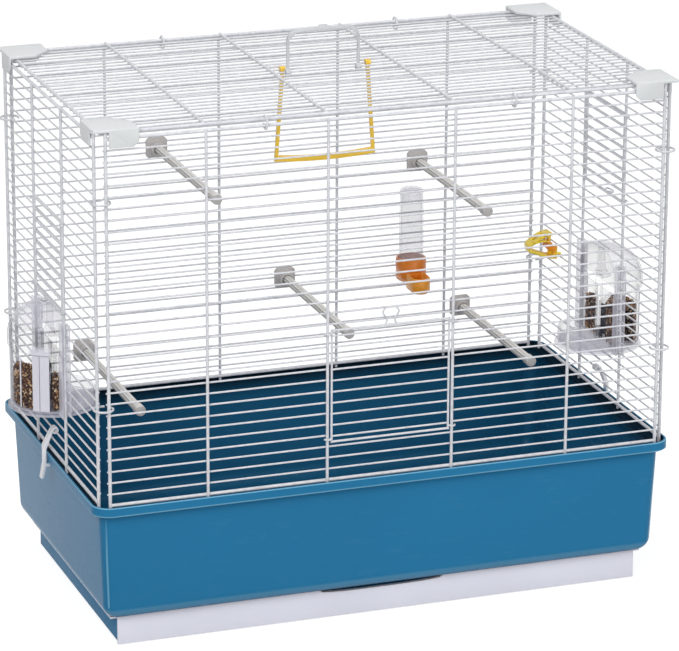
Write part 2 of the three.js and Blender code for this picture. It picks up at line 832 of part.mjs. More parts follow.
// Heaps of seed: a sector of the drum between two walls, kept off them all round
const seedSegments = 5;
function seedSolid(fromTurn, toTurn) {
  const outerRadius = (drumRadius - clearWall) * Math.cos(Math.PI / feederSegments) - seatGap;
  const off = clearWall / 2 + seatGap;
  const from = 2 * Math.PI * fromTurn;
  const to = 2 * Math.PI * toTurn;
  const half = (to - from) / 2;
  const apex = Math.max(off / Math.sin(half), (columnRadius + seatGap) / Math.cos(half));
  const offAngle = Math.asin(off / outerRadius);
  const middle = from + half;
  const outline = Array.from({ length: seedSegments + 1 }, (_, i) => {
    const angle = from + offAngle + (to - from - 2 * offAngle) * i / seedSegments;
    return [outerRadius * Math.cos(angle), -outerRadius * Math.sin(angle)];
  });
  return prism([[apex * Math.cos(middle), -apex * Math.sin(middle)], ...outline], 'z',
    local(drumFoot) + clearWall + seatGap, local(drumTop) - seedDrop);
}

for (const [name, wall] of [['left', leftWall], ['right', rightWall]]) {
  addMesh(`${name}_feeder_frame`, feederFrameSolid(), 'clearPlastic', wall);
  addMesh(`${name}_feeder_drum`, feederDrumSolid(), 'clearPlastic', wall);
  const nearHeap = seedSolid(0, channelFromTurn);
  const farHeap = seedSolid(halfTurn - channelFromTurn, halfTurn);
  addMesh(`${name}_seed_front`, name === 'left' ? nearHeap : farHeap, 'seedBrown', wall);
  addMesh(`${name}_seed_middle`, seedSolid(channelToTurn, halfTurn - channelToTurn), 'seedBrown', wall);
  addMesh(`${name}_seed_back`, name === 'left' ? farHeap : nearHeap, 'seedBrown', wall);
}

// Tray clips: levers that hang from a side wire, pass over the rim and catch under its lip
const clipRow = 2;
const clipWidth = 8;
const clipThick = 2.4;
const eyeWall = 2;
const clipStand = 1.5;
const clipNibHeight = 3;
const clipNibDrop = 1;
const clipTail = 16;
const clipTailFlare = 3;
const eyeRadius = Math.SQRT2 * thinWire / 2 + seatGap;
const eyeSides = 10;

function trayClipSolid() {
  const z = clipRow * pitch;
  const rimFace = -panelInset - clipStand;
  const lipFoot = local(rimTop - rimHeight);
  const eyeOuter = eyeRadius + eyeWall;
  const eye = prism(polygon(0, z, eyeOuter, eyeSides), 'x', -clipWidth / 2, clipWidth / 2,
    [polygon(0, z, eyeRadius, eyeSides)]);
  const arm = prism([
    [-eyeRadius - eyeWall / 4, z],
    [-eyeOuter, z + eyeWall / 2],
    [rimFace - clipThick, local(rimTop) + panelInset],
    [rimFace - clipThick, lipFoot],
    [rimFace - clipThick - clipTailFlare, lipFoot - clipTail],
    [rimFace - clipTailFlare, lipFoot - clipTail],
    [rimFace, lipFoot - clipNibDrop - clipNibHeight],
    [-panelInset + rimLip, lipFoot - clipNibDrop - clipNibHeight],
    [-panelInset + rimLip, lipFoot - clipNibDrop],
    [rimFace, lipFoot - clipNibDrop],
    [rimFace, local(rimTop) + panelInset / 2],
    [-eyeRadius - eyeWall / 2, z - eyeWall],
  ], 'x', -clipWidth / 2, clipWidth / 2);
  return join(eye, arm);
}

addMesh('left_tray_clip', trayClipSolid(), 'capGrey', leftWall);
addMesh('right_tray_clip', trayClipSolid(), 'capGrey', rightWall);

// Carrying handle: an arch that stands on two eyes round the roof's middle wire
const handleX = -10.5;
const handleHalf = 37.5;
const handleRise = 42;
const handleTop = roofZ + handleRise;
const handleBar = 3;
const handleLeg = 2.6;
const handleBarDepth = 3.4;
const handleLegDepth = 2.4;
const handleCorner = 10;
const handleCornerShare = 0.3;
const handleBumpHalf = 7;
const handleBumpHeight = 2.6;
const eyeLength = 5;
const eyeOuterRadius = eyeRadius + eyeWall;

function roofEye(x, y, length) {
  return prism(polygon(y, roofZ, eyeOuterRadius, eyeSides), 'x', x - length / 2, x + length / 2,
    [polygon(y, roofZ, eyeRadius, eyeSides)]);
}

function handleSolid() {
  const left = handleX - handleHalf;
  const right = handleX + handleHalf;
  const cornerDrop = handleCorner * handleCornerShare;
  const legFoot = roofZ + (eyeRadius + eyeOuterRadius) / 2;
  const legs = [[left, left + handleLeg], [right - handleLeg, right]].map(([from, to]) => (
    block(from, to, -handleLegDepth / 2, handleLegDepth / 2, legFoot, handleTop - handleCorner)
  ));
  const bar = prism([
    [handleTop - handleCorner, left],
    [handleTop - cornerDrop, left + cornerDrop],
    [handleTop, left + handleCorner],
    [handleTop, handleX - handleBumpHalf],
    [handleTop + handleBumpHeight, handleX - handleBumpHalf / 2],
    [handleTop + handleBumpHeight, handleX + handleBumpHalf / 2],
    [handleTop, handleX + handleBumpHalf],
    [handleTop, right - handleCorner],
    [handleTop - cornerDrop, right - cornerDrop],
    [handleTop - handleCorner, right],
    [handleTop - handleCorner, right - handleLeg],
    [handleTop - handleBar, right - handleCorner],
    [handleTop - handleBar, left + handleCorner],
    [handleTop - handleCorner, left + handleLeg],
  ], 'y', -handleBarDepth / 2, handleBarDepth / 2);
  const eyes = [left + handleLeg / 2, right - handleLeg / 2].map((x) => roofEye(x, 0, eyeLength));
  return join(bar, legs, eyes);
}

addMesh('handle', handleSolid(), 'capGrey');

// Swing: a yellow frame hung from the next roof wire
const swingX = -4.6;
const swingTopHalf = 44;
const swingFootHalf = 52;
const swingDrop = 94;
const swingFoot = roofZ - swingDrop;
const swingSag = 2.5;
const swingArm = 3.4;
const swingBar = 5.6;
const swingDepth = 4;
const swingY = roofPitch;
const swingBarSteps = 6;

function swingSolid() {
  const top = roofZ - (eyeRadius + eyeOuterRadius) / 2;
  const barLine = (offset, inset) => Array.from({ length: swingBarSteps + 1 }, (_, i) => {
    const t = 2 * i / swingBarSteps - 1;
    return [swingFoot + offset + swingSag * t * t, swingX + t * (swingFootHalf - inset)];
  });
  const outline = [
    ...barLine(0, 0).reverse(),
    [top, swingX - swingTopHalf - swingArm / 2],
    [top, swingX - swingTopHalf + swingArm / 2],
    ...barLine(swingBar, swingArm),
    [top, swingX + swingTopHalf - swingArm / 2],
    [top, swingX + swingTopHalf + swingArm / 2],
  ].reverse();
  const frame = prism(outline, 'y', swingY - swingDepth / 2, swingY + swingDepth / 2);
  const eyes = [-1, 1].map((side) => roofEye(swingX + side * swingTopHalf, swingY, eyeLength));
  return join(frame, eyes);
}

addMesh('swing', swingSolid(), 'swingYellow');

// Lugs that reach between the back wires and turn down behind one of them
const lugWidth = 4;
const lugThick = 1.6;
const lugDrop = 3;

function wireLugs(x, row, spread, inner) {
  const z = row * pitch + thinWire / 2 + seatGap;
  const outer = -thinWire / 2 - seatGap;
  return [-spread, spread].map((offset) => {
    const from = x + offset - lugWidth / 2;
    const to = x + offset + lugWidth / 2;
    return join(
      block(from, to, outer - lugThick, inner, z, z + lugThick),
      block(from, to, outer - lugThick, outer, z - lugDrop, z + lugThick),
    );
  });
}

// Perches: a square clip on the back wires, a ribbed rod in its socket and a fuller front end
const perchReach = 195;
const perchRadius = 4.8;
const perchGrooveShare = 0.15;
const perchRibCount = 9;
const perchPlate = 22;
const perchPlateThick = 3;
const perchSocketRadius = 7.5;
const perchSocketLength = 8;
const perchEndRadius = 5.4;
const perchEndLength = 12;
const plateFace = thinWire / 2 + seatGap;
const socketSides = 12;
const lugSpread = 7;

const perchPlaces = {
  perch_1: { spanShare: -0.47, row: 22.5 },
  perch_2: { spanShare: 0.535, row: 19 },
  perch_3: { spanShare: 0.018, row: 9 },
  perch_4: { spanShare: 0.713, row: 4.5 },
  perch_5: { spanShare: -0.753, row: 4 },
};

function perchClipSolid(x, row) {
  const z = row * pitch;
  const face = plateFace + perchPlateThick;
  const half = perchPlate / 2;
  const chamfer = perchPlateThick;
  const plate = prism([
    [z - half, x - half + chamfer],
    [z - half + chamfer, x - half],
    [z + half - chamfer, x - half],
    [z + half, x - half + chamfer],
    [z + half, x + half - chamfer],
    [z + half - chamfer, x + half],
    [z - half + chamfer, x + half],
    [z - half, x + half - chamfer],
  ].reverse(), 'y', plateFace, face);
  const socket = prism(polygon(z, x, perchSocketRadius, socketSides), 'y', face - perchPlateThick / 2,
    face + perchSocketLength, [polygon(z, x, perchRadius + seatGap, socketSides)]);
  return join(plate, socket, wireLugs(x, Math.floor(row), lugSpread, plateFace + perchPlateThick / 2));
}

function perchRodSolid(x, row) {
  const z = row * pitch;
  const start = plateFace + perchPlateThick + seatGap;
  const end = start + perchReach;
  const ribbed = Array.from({ length: 2 * perchRibCount }, (_, i) => {
    const angle = Math.PI * i / perchRibCount;
    const radius = i % 2 ? perchRadius * (1 - perchGrooveShare) : perchRadius;
    return [z + radius * Math.cos(angle), x + radius * Math.sin(angle)];
  });
  const rod = prism(ribbed, 'y', start, end - perchEndLength / 2);
  const tip = prism(polygon(z, x, perchEndRadius, socketSides), 'y', end - perchEndLength, end);
  return join(rod, tip);
}

for (const [name, { spanShare, row }] of Object.entries(perchPlaces)) {
  const x = spanShare * frontHalfSpan;
  addMesh(`${name}_clip`, perchClipSolid(-x, row), 'perchGrey', backWall);
  addMesh(`${name}_rod`, perchRodSolid(-x, row), 'perchGrey', backWall);
}

// Drinker: a clear tube that stands in an orange collar with a trough towards the cage
const drinkerSpanShare = 0.493;
const drinkerX = drinkerSpanShare * frontHalfSpan;
const drinkerStand = 19;
const drinkerFootRow = 8;
const tubeRadius = 13;
const tubeTopRadius = 12;
const tubeLength = 86;
const tubeRound = 2;
const tubeWall = 1.6;
const tubeSink = 12.5;
const collarWall = 2.4;
const collarHeight = 24.5;
const collarFoot = rowZ(drinkerFootRow) + seatGap;
const collarTop = collarFoot + collarHeight;
const tubeFoot = collarTop - tubeSink;
const tubeTop = tubeFoot + tubeLength;
const troughReach = 24;
const troughHalf = 10;
const troughRise = 10.5;
const troughDrop = 6.5;
const troughTop = collarFoot + troughRise;
const troughFoot = collarFoot - troughDrop;
const troughWall = 2;
const drinkerSegments = 16;
const drinkerLugRow = 9;

function drinkerTubeSolid() {
  const foot = local(tubeFoot);
  const top = local(tubeTop);
  return turned([
    [tubeRadius - tubeWall, foot],
    [tubeRadius, foot],
    [tubeTopRadius, top - tubeRound],
    [tubeTopRadius - tubeRound, top],
    [0, top],
    [0, top - tubeWall],
    [tubeTopRadius - tubeRound, top - tubeWall],
    [tubeTopRadius - tubeWall, top - tubeRound],
  ], -drinkerX, drinkerStand, drinkerSegments);
}

function drinkerBaseSolid() {
  const outer = tubeRadius + seatGap + collarWall;
  const collar = turned([
    [0, local(collarFoot)],
    [outer - collarWall, local(collarFoot)],
    [outer, local(collarFoot) + collarWall],
    [outer, local(collarTop)],
    [0, local(collarTop)],
  ], -drinkerX, drinkerStand, drinkerSegments);
  const bore = turned([
    [0, local(tubeFoot) - seatGap],
    [tubeRadius + seatGap, local(tubeFoot) - seatGap],
    [tubeRadius + seatGap, local(collarTop) + cutOver],
    [0, local(collarTop) + cutOver],
  ], -drinkerX, drinkerStand, drinkerSegments);
  const throat = turned([
    [0, local(collarFoot) + troughWall],
    [tubeRadius - collarWall, local(collarFoot) + troughWall],
    [tubeRadius - collarWall, local(tubeFoot)],
    [0, local(tubeFoot)],
  ], -drinkerX, drinkerStand, drinkerSegments);
  const reach = drinkerStand + tubeRadius + troughReach;
  const trough = prism([
    [drinkerStand, local(troughTop)],
    [drinkerStand, local(collarFoot)],
    [reach - 2 * troughHalf, local(troughFoot)],
    [reach - troughHalf / 2, local(troughFoot)],
    [reach, local(collarFoot)],
    [reach, local(troughTop)],
  ], 'x', -drinkerX - troughHalf, -drinkerX + troughHalf);
  const basin = block(-drinkerX - troughHalf + troughWall, -drinkerX + troughHalf - troughWall,
    drinkerStand, reach - troughWall, local(collarFoot) + troughWall, local(troughTop) + cutOver);
  const hollow = basin.subtract(block(-drinkerX - troughHalf, -drinkerX + troughHalf, 0,
    drinkerStand + outer, local(troughTop) - troughWall, local(collarTop)));
  const lugs = wireLugs(-drinkerX, drinkerLugRow, lugSpread, drinkerStand - tubeRadius);
  const body = cut(join(collar, trough), bore, throat, hollow);
  return join(body, lugs);
}

addMesh('drinker_tube', drinkerTubeSolid(), 'clearPlastic', backWall);
addMesh('drinker_base', drinkerBaseSolid(), 'drinkerOrange', backWall);

// Nibble clip: two slotted yellow jaws on a pin, the lower one hooked on a side wire
const nibbleInset = 49;
const nibbleY = frontY - nibbleInset;
const nibbleRow = 10.8;
const nibbleZ = rowZ(nibbleRow);
const nibbleReach = 31;
const nibbleWidth = 16;
const nibbleThick = 3;
const nibbleOpen = 16;
const nibblePin = 7;
const nibblePinRadius = 1.6;
const nibbleBarrel = 3.6;
const nibbleLegWidth = 4;
const nibbleSlotShare = 0.4;
const nibbleSlotFromShare = 0.3;
const nibbleSlotToShare = 0.85;
const nibbleTipGap = 0.6;
const nibbleLugRow = 10;
const nibbleSetback = 5.5;
const nibbleBowSteps = 5;
const nibbleBowShare = 0.8;

// One jaw of the clip, above (sign 1) or below (sign -1) the middle, from its root to the tip
function jawPlate(sign, setback) {
  const back = plateFace + seatGap;
  const tip = back + nibbleReach;
  const z = local(nibbleZ);
  const bow = (rise, tipRise) => Array.from({ length: nibbleBowSteps + 1 }, (_, i) => {
    const share = i / nibbleBowSteps;
    const fall = Math.cos(Math.PI / 2 * share) ** nibbleBowShare;
    const out = back + setback + (tip - back - setback) * share;
    return [out, z + sign * (tipRise + (rise - tipRise) * fall)];
  });
  const outline = [
    ...bow(nibbleOpen - nibbleThick, nibbleTipGap / 2),
    ...bow(nibbleOpen, nibbleTipGap / 2 + nibbleThick).reverse(),
  ];
  const plate = prism(sign > 0 ? outline : outline.reverse(), 'x',
    nibbleY - nibbleWidth / 2, nibbleY + nibbleWidth / 2);
  const slot = block(nibbleY - nibbleWidth * nibbleSlotShare / 2, nibbleY + nibbleWidth * nibbleSlotShare / 2,
    back + nibbleReach * nibbleSlotFromShare, back + nibbleReach * nibbleSlotToShare,
    z - 2 * nibbleOpen, z + 2 * nibbleOpen);
  return cut(plate, slot);
}

function nibbleLowerSolid() {
  const back = plateFace + seatGap;
  const z = local(nibbleZ);
  const half = nibbleWidth / 2;
  const legs = [-1, 1].map((side) => {
    const edges = [nibbleY + side * half, nibbleY + side * (half - nibbleLegWidth)];
    edges.sort((a, b) => a - b);
    return block(...edges, back, back + 2 * nibblePin,
      z - nibbleOpen + nibbleThick / 2, z + nibbleBarrel / 2);
  });
  const pin = prism(polygon(back + nibblePin, z, nibblePinRadius, eyeSides), 'x',
    nibbleY - half + nibbleLegWidth / 2, nibbleY + half - nibbleLegWidth / 2);
  const lugs = wireLugs(nibbleY, nibbleLugRow, half - nibbleLegWidth / 2, back + nibbleThick / 2);
  return join(jawPlate(-1, 0), legs, pin, lugs);
}

function nibbleUpperSolid() {
  const back = plateFace + seatGap;
  const z = local(nibbleZ);
  const half = nibbleWidth / 2 - nibbleLegWidth - seatGap;
  const bore = polygon(back + nibblePin, z, nibblePinRadius + seatGap, eyeSides);
  const barrel = prism(polygon(back + nibblePin, z, nibbleBarrel, eyeSides), 'x', nibbleY - half,
    nibbleY + half, [bore]);
  const leg = block(nibbleY - half, nibbleY + half,
    back + nibblePin - nibbleThick / 2, back + nibblePin + nibbleThick / 2,
    z + (nibblePinRadius + nibbleBarrel) / 2, z + nibbleOpen - nibbleThick);
  return join(jawPlate(1, nibbleSetback), barrel, leg);
}

addMesh('nibble_clip_lower', nibbleLowerSolid(), 'nibbleYellow', rightWall);
addMesh('nibble_clip_upper', nibbleUpperSolid(), 'nibbleYellow', rightWall);

export default cage;
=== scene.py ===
import json
import math
import bmesh
import bpy
from mathutils import Matrix, Vector


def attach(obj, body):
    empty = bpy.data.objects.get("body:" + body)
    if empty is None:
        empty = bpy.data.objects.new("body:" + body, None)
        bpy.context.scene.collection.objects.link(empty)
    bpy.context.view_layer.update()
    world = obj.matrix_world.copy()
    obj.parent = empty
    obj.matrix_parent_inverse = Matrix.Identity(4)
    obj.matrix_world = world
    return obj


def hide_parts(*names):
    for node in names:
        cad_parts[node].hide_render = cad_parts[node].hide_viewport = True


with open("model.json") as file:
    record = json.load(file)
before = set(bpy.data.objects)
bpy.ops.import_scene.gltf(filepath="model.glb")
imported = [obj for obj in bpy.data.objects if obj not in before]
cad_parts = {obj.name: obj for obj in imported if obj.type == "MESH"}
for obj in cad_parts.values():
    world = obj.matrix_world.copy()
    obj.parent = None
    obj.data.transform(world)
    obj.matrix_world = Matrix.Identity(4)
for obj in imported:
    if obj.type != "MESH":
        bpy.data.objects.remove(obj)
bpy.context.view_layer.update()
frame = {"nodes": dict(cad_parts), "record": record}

mm = 0.001
workshop = bpy.context.scene.collection

print("scene: settings")
# the grid of the cage, in millimetres, as the solids have it
grid = {
    "sideX": 287.0, "frontY": 162.0, "cornerGap": 8.0,
    "bottomZ": 150.5, "rise": 356.5, "rows": 32, "roofLift": 4.0, "roofInset": 4.4, "roofRows": 28,
    "thin": 1.8, "cross": 3.0, "rail": 3.4, "foot": 5.2, "head": 6.3,
    "doorCross": 63.5, "outerCross": 183.0, "sideCross": 50.0,
    "doorRows": (3, 14), "feederRows": (4, 14), "overhang": 2.4, "sides": 10,
}
pitch = grid["rise"] / grid["rows"]
roofZ = grid["bottomZ"] + grid["rise"] + grid["roofLift"]
roofHalfX = grid["sideX"] - grid["roofInset"]
roofHalfY = grid["frontY"] - grid["roofInset"]
frontSpan = grid["sideX"] - grid["cornerGap"]
sideSpan = grid["frontY"] - grid["cornerGap"]


def rowZ(row):
    return grid["bottomZ"] + row * pitch


# points of an arc about a centre, its angles in degrees
def arc(centre, radius, start, stop, steps):
    turns = [math.radians(start + (stop - start) * i / steps) for i in range(steps + 1)]
    return [(centre[0] + radius * math.cos(turn), centre[1] + radius * math.sin(turn)) for turn in turns]


# a socket that takes part in sums
class Field:
    def __init__(self, owner, link):
        self.owner = owner
        self.link = link

    def sum(self, operation, first, second):
        return self.owner.node("ShaderNodeMath", {"operation": operation}, {0: first, 1: second})

    def __add__(self, other):
        return self.sum("ADD", self, other)

    def __radd__(self, other):
        return self.sum("ADD", other, self)

    def __sub__(self, other):
        return self.sum("SUBTRACT", self, other)

    def __rsub__(self, other):
        return self.sum("SUBTRACT", other, self)

    def __mul__(self, other):
        return self.sum("MULTIPLY", self, other)

    def __rmul__(self, other):
        return self.sum("MULTIPLY", other, self)

    def __pow__(self, other):
        return self.sum("POWER", self, other)


# any node of a tree: its settings first, then the values and links of its sockets
class Nodes:
    def node(self, kind, settings=None, inputs=None, out=0):
        made = self.tree.nodes.new(kind)
        for name, value in (settings or {}).items():
            if name == "stops":
                ramp = made.color_ramp
                while len(ramp.elements) < len(value):
                    ramp.elements.new(0.5)
                for element, (place, colour) in zip(ramp.elements, value):
                    element.position = place
                    element.color = colour
            else:
                setattr(made, name, value)
        for key, value in (inputs or {}).items():
            for given in value if isinstance(value, list) else [value]:
                if isinstance(given, Field):
                    self.tree.links.new(given.link, made.inputs[key])
                else:
                    made.inputs[key].default_value = given
        return Field(self, made.outputs[out]) if made.outputs else made


class Paint(Nodes):
    def __init__(self, name, shelf=bpy.data.materials):
        self.owner = shelf.new(name)
        self.owner.use_nodes = True
        self.tree = self.owner.node_tree
        self.tree.nodes.clear()

    def place(self):
        return self.node("ShaderNodeTexCoord", out=3)

    def mark(self, name):
        return self.node("ShaderNodeAttribute", {"attribute_name": name}, out=2)

    def mixColour(self, share, first, second):
        return self.node("ShaderNodeMix", {"data_type": "RGBA"}, {0: share, 6: first, 7: second}, out=2)

    def noise(self, where, scale, detail=3.0, rough=0.55):
        return self.node("ShaderNodeTexNoise", {}, {
            "Vector": where, "Scale": scale, "Detail": detail, "Roughness": rough})

    def band(self, value, low, high):
        return self.node("ShaderNodeMapRange", {"interpolation_type": "SMOOTHSTEP"}, {
            "Value": value, "From Min": low, "From Max": high})

    def stretched(self, where, scale):
        return self.node("ShaderNodeMapping", {}, {"Vector": where, "Scale": scale})

    def vector(self, operation, first, second):
        return self.node("ShaderNodeVectorMath", {"operation": operation}, {0: first, 1: second}, out=1)

    def bump(self, strength, height, depth=0.0004):
        return self.node("ShaderNodeBump", {}, {"Strength": strength, "Distance": depth, "Height": height})

    # 1 where the camera, a mirror or clear plastic looks at it
    def looked(self):
        rays = self.node("ShaderNodeLightPath").link.node.outputs
        camera, glossy, clear = (rays[f"Is {kind} Ray"] for kind in ("Camera", "Glossy", "Transmission"))
        seen = Field(self, camera) + Field(self, glossy) + Field(self, clear)
        seen.link.node.use_clamp = True
        return seen

    def shown(self, surface, kind="ShaderNodeOutputMaterial"):
        self.node(kind, {}, {"Surface": surface})
        return self.owner

    def skin(self, sockets):
        return self.shown(self.node("ShaderNodeBsdfPrincipled", {}, sockets))


def srgb(r, g, b, share=1.0):
    def line(c):
        c /= 255
        return c / 12.92 if c <= 0.04045 else ((c + 0.055) / 1.055) ** 2.4
    return (line(r) * share, line(g) * share, line(b) * share, 1.0)


plasticLook = {
    "driftScale": 7.0, "drift": 0.03, "driftBand": (0.3, 0.7), "grainScale": 900.0, "grainRough": 0.05,
    "grainHeight": 0.5, "rubScale": 26.0, "rubStretch": (1.0, 1.0, 2.5), "rubBand": (0.54, 0.72),
    "rubTint": 0.1, "rubColour": (0.8, 0.8, 0.8, 1), "rubRough": 0.03, "rubHeight": 0.05,
    "bump": 0.08, "rough": 0.24, "ior": 1.5, "depth": 0.0, "upBand": (0.3, 0.95),
    "dullBand": (0.8, 1.0), "dull": 0.6,
}


# moulded plastic: slow colour drift, fine mould grain, faint flow lines and rubbed, duller patches; where
# asked, painted top light, painted shade and painted edge highlights
def mouldedPlastic(name, colour, **changes):
    look = {**plasticLook, **changes}
    paint = Paint(name)
    where = paint.place()
    drift = paint.noise(where, look["driftScale"], 2.0)
    grain = paint.noise(where, look["grainScale"], 2.0, 0.6)
    rubs = paint.noise(paint.stretched(where, look["rubStretch"]), look["rubScale"], 4.0, 0.65)
    rubbed = paint.band(rubs, *look["rubBand"])
    rough = look["rough"] + grain * look["grainRough"] + rubbed * look["rubRough"]
    tone = paint.mixColour(paint.band(drift, *look["driftBand"]), srgb(*colour, 1 - look["drift"]),
                           srgb(*colour, 1 + look["drift"]))
    tone = paint.mixColour(rubbed * look["rubTint"], tone, look["rubColour"])
    # painted light: lighter where the surface faces up, standing in for the light from above
    if "worn" in look:
        upward = paint.vector("DOT_PRODUCT", paint.node("ShaderNodeNewGeometry", out=1), (0, 0, 1))
        tone = paint.mixColour(paint.band(upward, *look["upBand"]) * look["worn"], tone, look["wornColour"])
    # painted shade: points marked inside are drawn darker, down to a share of the colour, where shade falls
    if "deep" in look:
        inside = paint.mark("inside")
        tone = paint.mixColour(inside, tone, srgb(*colour, look["deep"]))
        rough = rough + paint.band(inside, *look["dullBand"]) * look["dull"]
        # painted highlight: points marked as lit edges are drawn lighter
        tone = paint.mixColour(paint.mark("bright"), tone, look["brightColour"])
    if "core" in look:
        reach = paint.vector("DISTANCE", paint.stretched(where, (1, 0, 1)), look["core"])
        tone = paint.mixColour(paint.band(reach, *look["coreBand"]), tone, look["coreColour"])
    height = grain * look["grainHeight"] + rubs * look["rubHeight"]
    return paint.skin({
        "Base Color": tone, "Roughness": rough, "Normal": paint.bump(look["bump"], height), "IOR": look["ior"],
        "Subsurface Weight": look["depth"], "Subsurface Radius": (0.004, 0.004, 0.004)})


# plastic-coated wire: thick glossy coat, small runs and pinholes where the weld shows through
def coatedWire(name, **look):
    paint = Paint(name)
    where = paint.place()
    runs = paint.noise(where, look["runScale"], 3.0)
    peel = paint.noise(where, look["peelScale"], 2.0)
    specks = paint.band(paint.noise(where, look["speckScale"], 1.0), *look["speckBand"])
    tone = paint.mixColour(paint.band(runs, *look["runBand"]), look["colour"], look["runColour"])
    tone = paint.mixColour(specks * look["speckShare"], tone, look["speckColour"])
    rough = look["rough"] + runs * look["runRough"] + specks * look["speckRough"]
    bump = paint.bump(look["bump"], runs * 0.6 + peel * 0.4, 0.0003)
    return paint.skin({
        "Base Color": tone, "Roughness": rough, "Normal": bump,
        "Coat Weight": look["coat"], "Coat Roughness": look["coatRough"]})


# clear moulded plastic: seen through where it is faced, more opaque towards its edges, where a dark colour
# paints a dark outline standing in for refraction's shade, with milky thick parts and some milky strips painted
# as reflections
def clearPlastic(name, **look):
    paint = Paint(name)
    where = paint.place()
    flow = paint.noise(paint.stretched(where, (1, 1, 0.25)), look["flowScale"], 3.0)
    haze = paint.band(paint.noise(where, look["hazeScale"], 3.0), 0.45, 0.75)
    milk = paint.mark("milk")
    edge = paint.node("ShaderNodeLayerWeight", {}, {"Blend": 0.5}, out=1) ** look["edgePower"]
    tone = paint.mixColour(haze * look["hazeShare"], look["colour"], look["hazeColour"])
    tone = paint.mixColour(paint.band(milk, 0.02, 0.2), tone, look["milkColour"])
    body = milk + haze * look["hazeBody"] + edge * look["edgeBody"] + look["body"]
    body.link.node.use_clamp = True
    return paint.skin({
        "Base Color": tone, "Roughness": look["rough"] + haze * look["hazeRough"],
        "Normal": paint.bump(look["bump"], flow), "IOR": look["ior"], "Alpha": body})


# loose seed: each grain carries its own tone, with a darker crease pattern over it
def seedSkin(name, **look):
    paint = Paint(name)
    colour = paint.node("ShaderNodeValToRGB", {"stops": look["tones"]}, {"Fac": paint.mark("tone")})
    streak = paint.noise(paint.place(), look["streakScale"], 3.0)
    colour = paint.mixColour(paint.band(streak, *look["streakBand"]) * 0.5, colour, look["streakColour"])
    return paint.skin({
        "Base Color": colour, "Roughness": look["rough"] + streak * look["streakRough"],
        "Normal": paint.bump(look["bump"], streak, 0.0002)})


print("scene: finishes")
# blue plastic: painted shade down to a small share of its blue where marked inside, and a pale blue painted
# highlight where marked
trayPlastic = {
    "colour": (41, 121, 166), "drift": 0.04, "driftScale": 4.0, "rubTint": 0.005, "rubStretch": (1.0, 1.0, 3.0),
    "rubHeight": 0.0, "ior": 1.16, "deep": 0.08, "brightColour": srgb(140, 196, 220),
}
finishes = {
    "wire": coatedWire(
        "whiteCoatedWire", colour=srgb(224, 225, 230), runColour=srgb(206, 208, 214), runScale=160.0,
        runRough=0.12, runBand=(0.35, 0.7), peelScale=1400.0, speckScale=420.0, speckShare=0.35,
        speckColour=srgb(176, 176, 180), speckBand=(0.68, 0.76), speckRough=0.2, rough=0.26, bump=0.25,
        coat=0.3, coatRough=0.12),
    "tray": mouldedPlastic("trayBlue", **trayPlastic),
    "pan": mouldedPlastic("panBlue", **{**trayPlastic, "rough": 0.4, "ior": 1.18}),
    # the drawer: no painted shade, with a white painted highlight along its scoop's lip
    "drawer": mouldedPlastic(
        "drawerPaleGrey", (232, 233, 245), rough=0.3, deep=1.0, brightColour=srgb(254, 254, 255)),
    "cap": mouldedPlastic("capLightGrey", (221, 224, 225), rough=0.38),
    "lever": mouldedPlastic("leverWhite", (242, 243, 247), rough=0.3),
    "handle": mouldedPlastic("handleGrey", (206, 207, 210), rough=0.34),
    # perch rods: their tops painted lighter, standing in for the light from above
    "perch": mouldedPlastic(
        "perchGrey", (186, 184, 182), rough=0.5, grainScale=500.0, bump=0.3, worn=0.8,
        wornColour=srgb(242, 240, 236), rubTint=0.25, rubColour=srgb(160, 158, 156)),
    "clip": mouldedPlastic("perchClipGrey", (192, 188, 186), rough=0.42, grainScale=600.0, bump=0.2),
    "yellow": mouldedPlastic(
        "swingYellow", (247, 204, 62), rough=0.3, drift=0.04, driftScale=30.0, depth=0.05),
    "lemon": mouldedPlastic(
        "nibbleYellow", (255, 224, 64), rough=0.26, drift=0.05, driftScale=60.0, depth=0.08,
        core=(0.2785, 0, 0.2708), coreBand=(0.011, 0.003), coreColour=srgb(248, 150, 12)),
    "pad": mouldedPlastic("footPad", (120, 122, 126), rough=0.7, bump=0.3),
    "orange": clearPlastic(
        "drinkerOrange", colour=srgb(242, 140, 14), hazeColour=srgb(216, 104, 4), hazeShare=0.8,
        hazeScale=70.0, flowScale=140.0, rough=0.14, hazeRough=0.1, ior=1.45, bump=0.12,
        milkColour=srgb(250, 196, 70), body=0.62, hazeBody=0.1, edgePower=3.0, edgeBody=0.35),
    # its dark colour shows at grazing edges only: a painted dark outline standing in for refraction's shade
    "clear": clearPlastic(
        "clearPlastic", colour=srgb(92, 92, 108), hazeColour=srgb(140, 140, 156), hazeShare=0.5,
        hazeScale=60.0, flowScale=120.0, rough=0.08, hazeRough=0.08, ior=1.22, bump=0.08,
        milkColour=srgb(240, 239, 250), body=0.02, hazeBody=0.02, edgePower=6.0, edgeBody=0.9),
    "seed": seedSkin(
        "seedMix", tones=[(0.0, srgb(40, 24, 16)), (0.4, srgb(70, 42, 28)), (0.6, srgb(128, 86, 54)),
                          (0.8, srgb(186, 146, 104)), (1.0, srgb(232, 208, 176))],
        streakScale=900.0, streakBand=(0.45, 0.7), streakColour=srgb(58, 34, 22), streakRough=0.3,
        rough=0.45, bump=0.3),
}
bodyOf = {node: body for body, members in frame["record"]["behaviour"]["bodies"].items() for node in members}


# building helpers
def linked(name, data):
    obj = bpy.data.objects.new(name, data)
    workshop.objects.link(obj)
    return obj


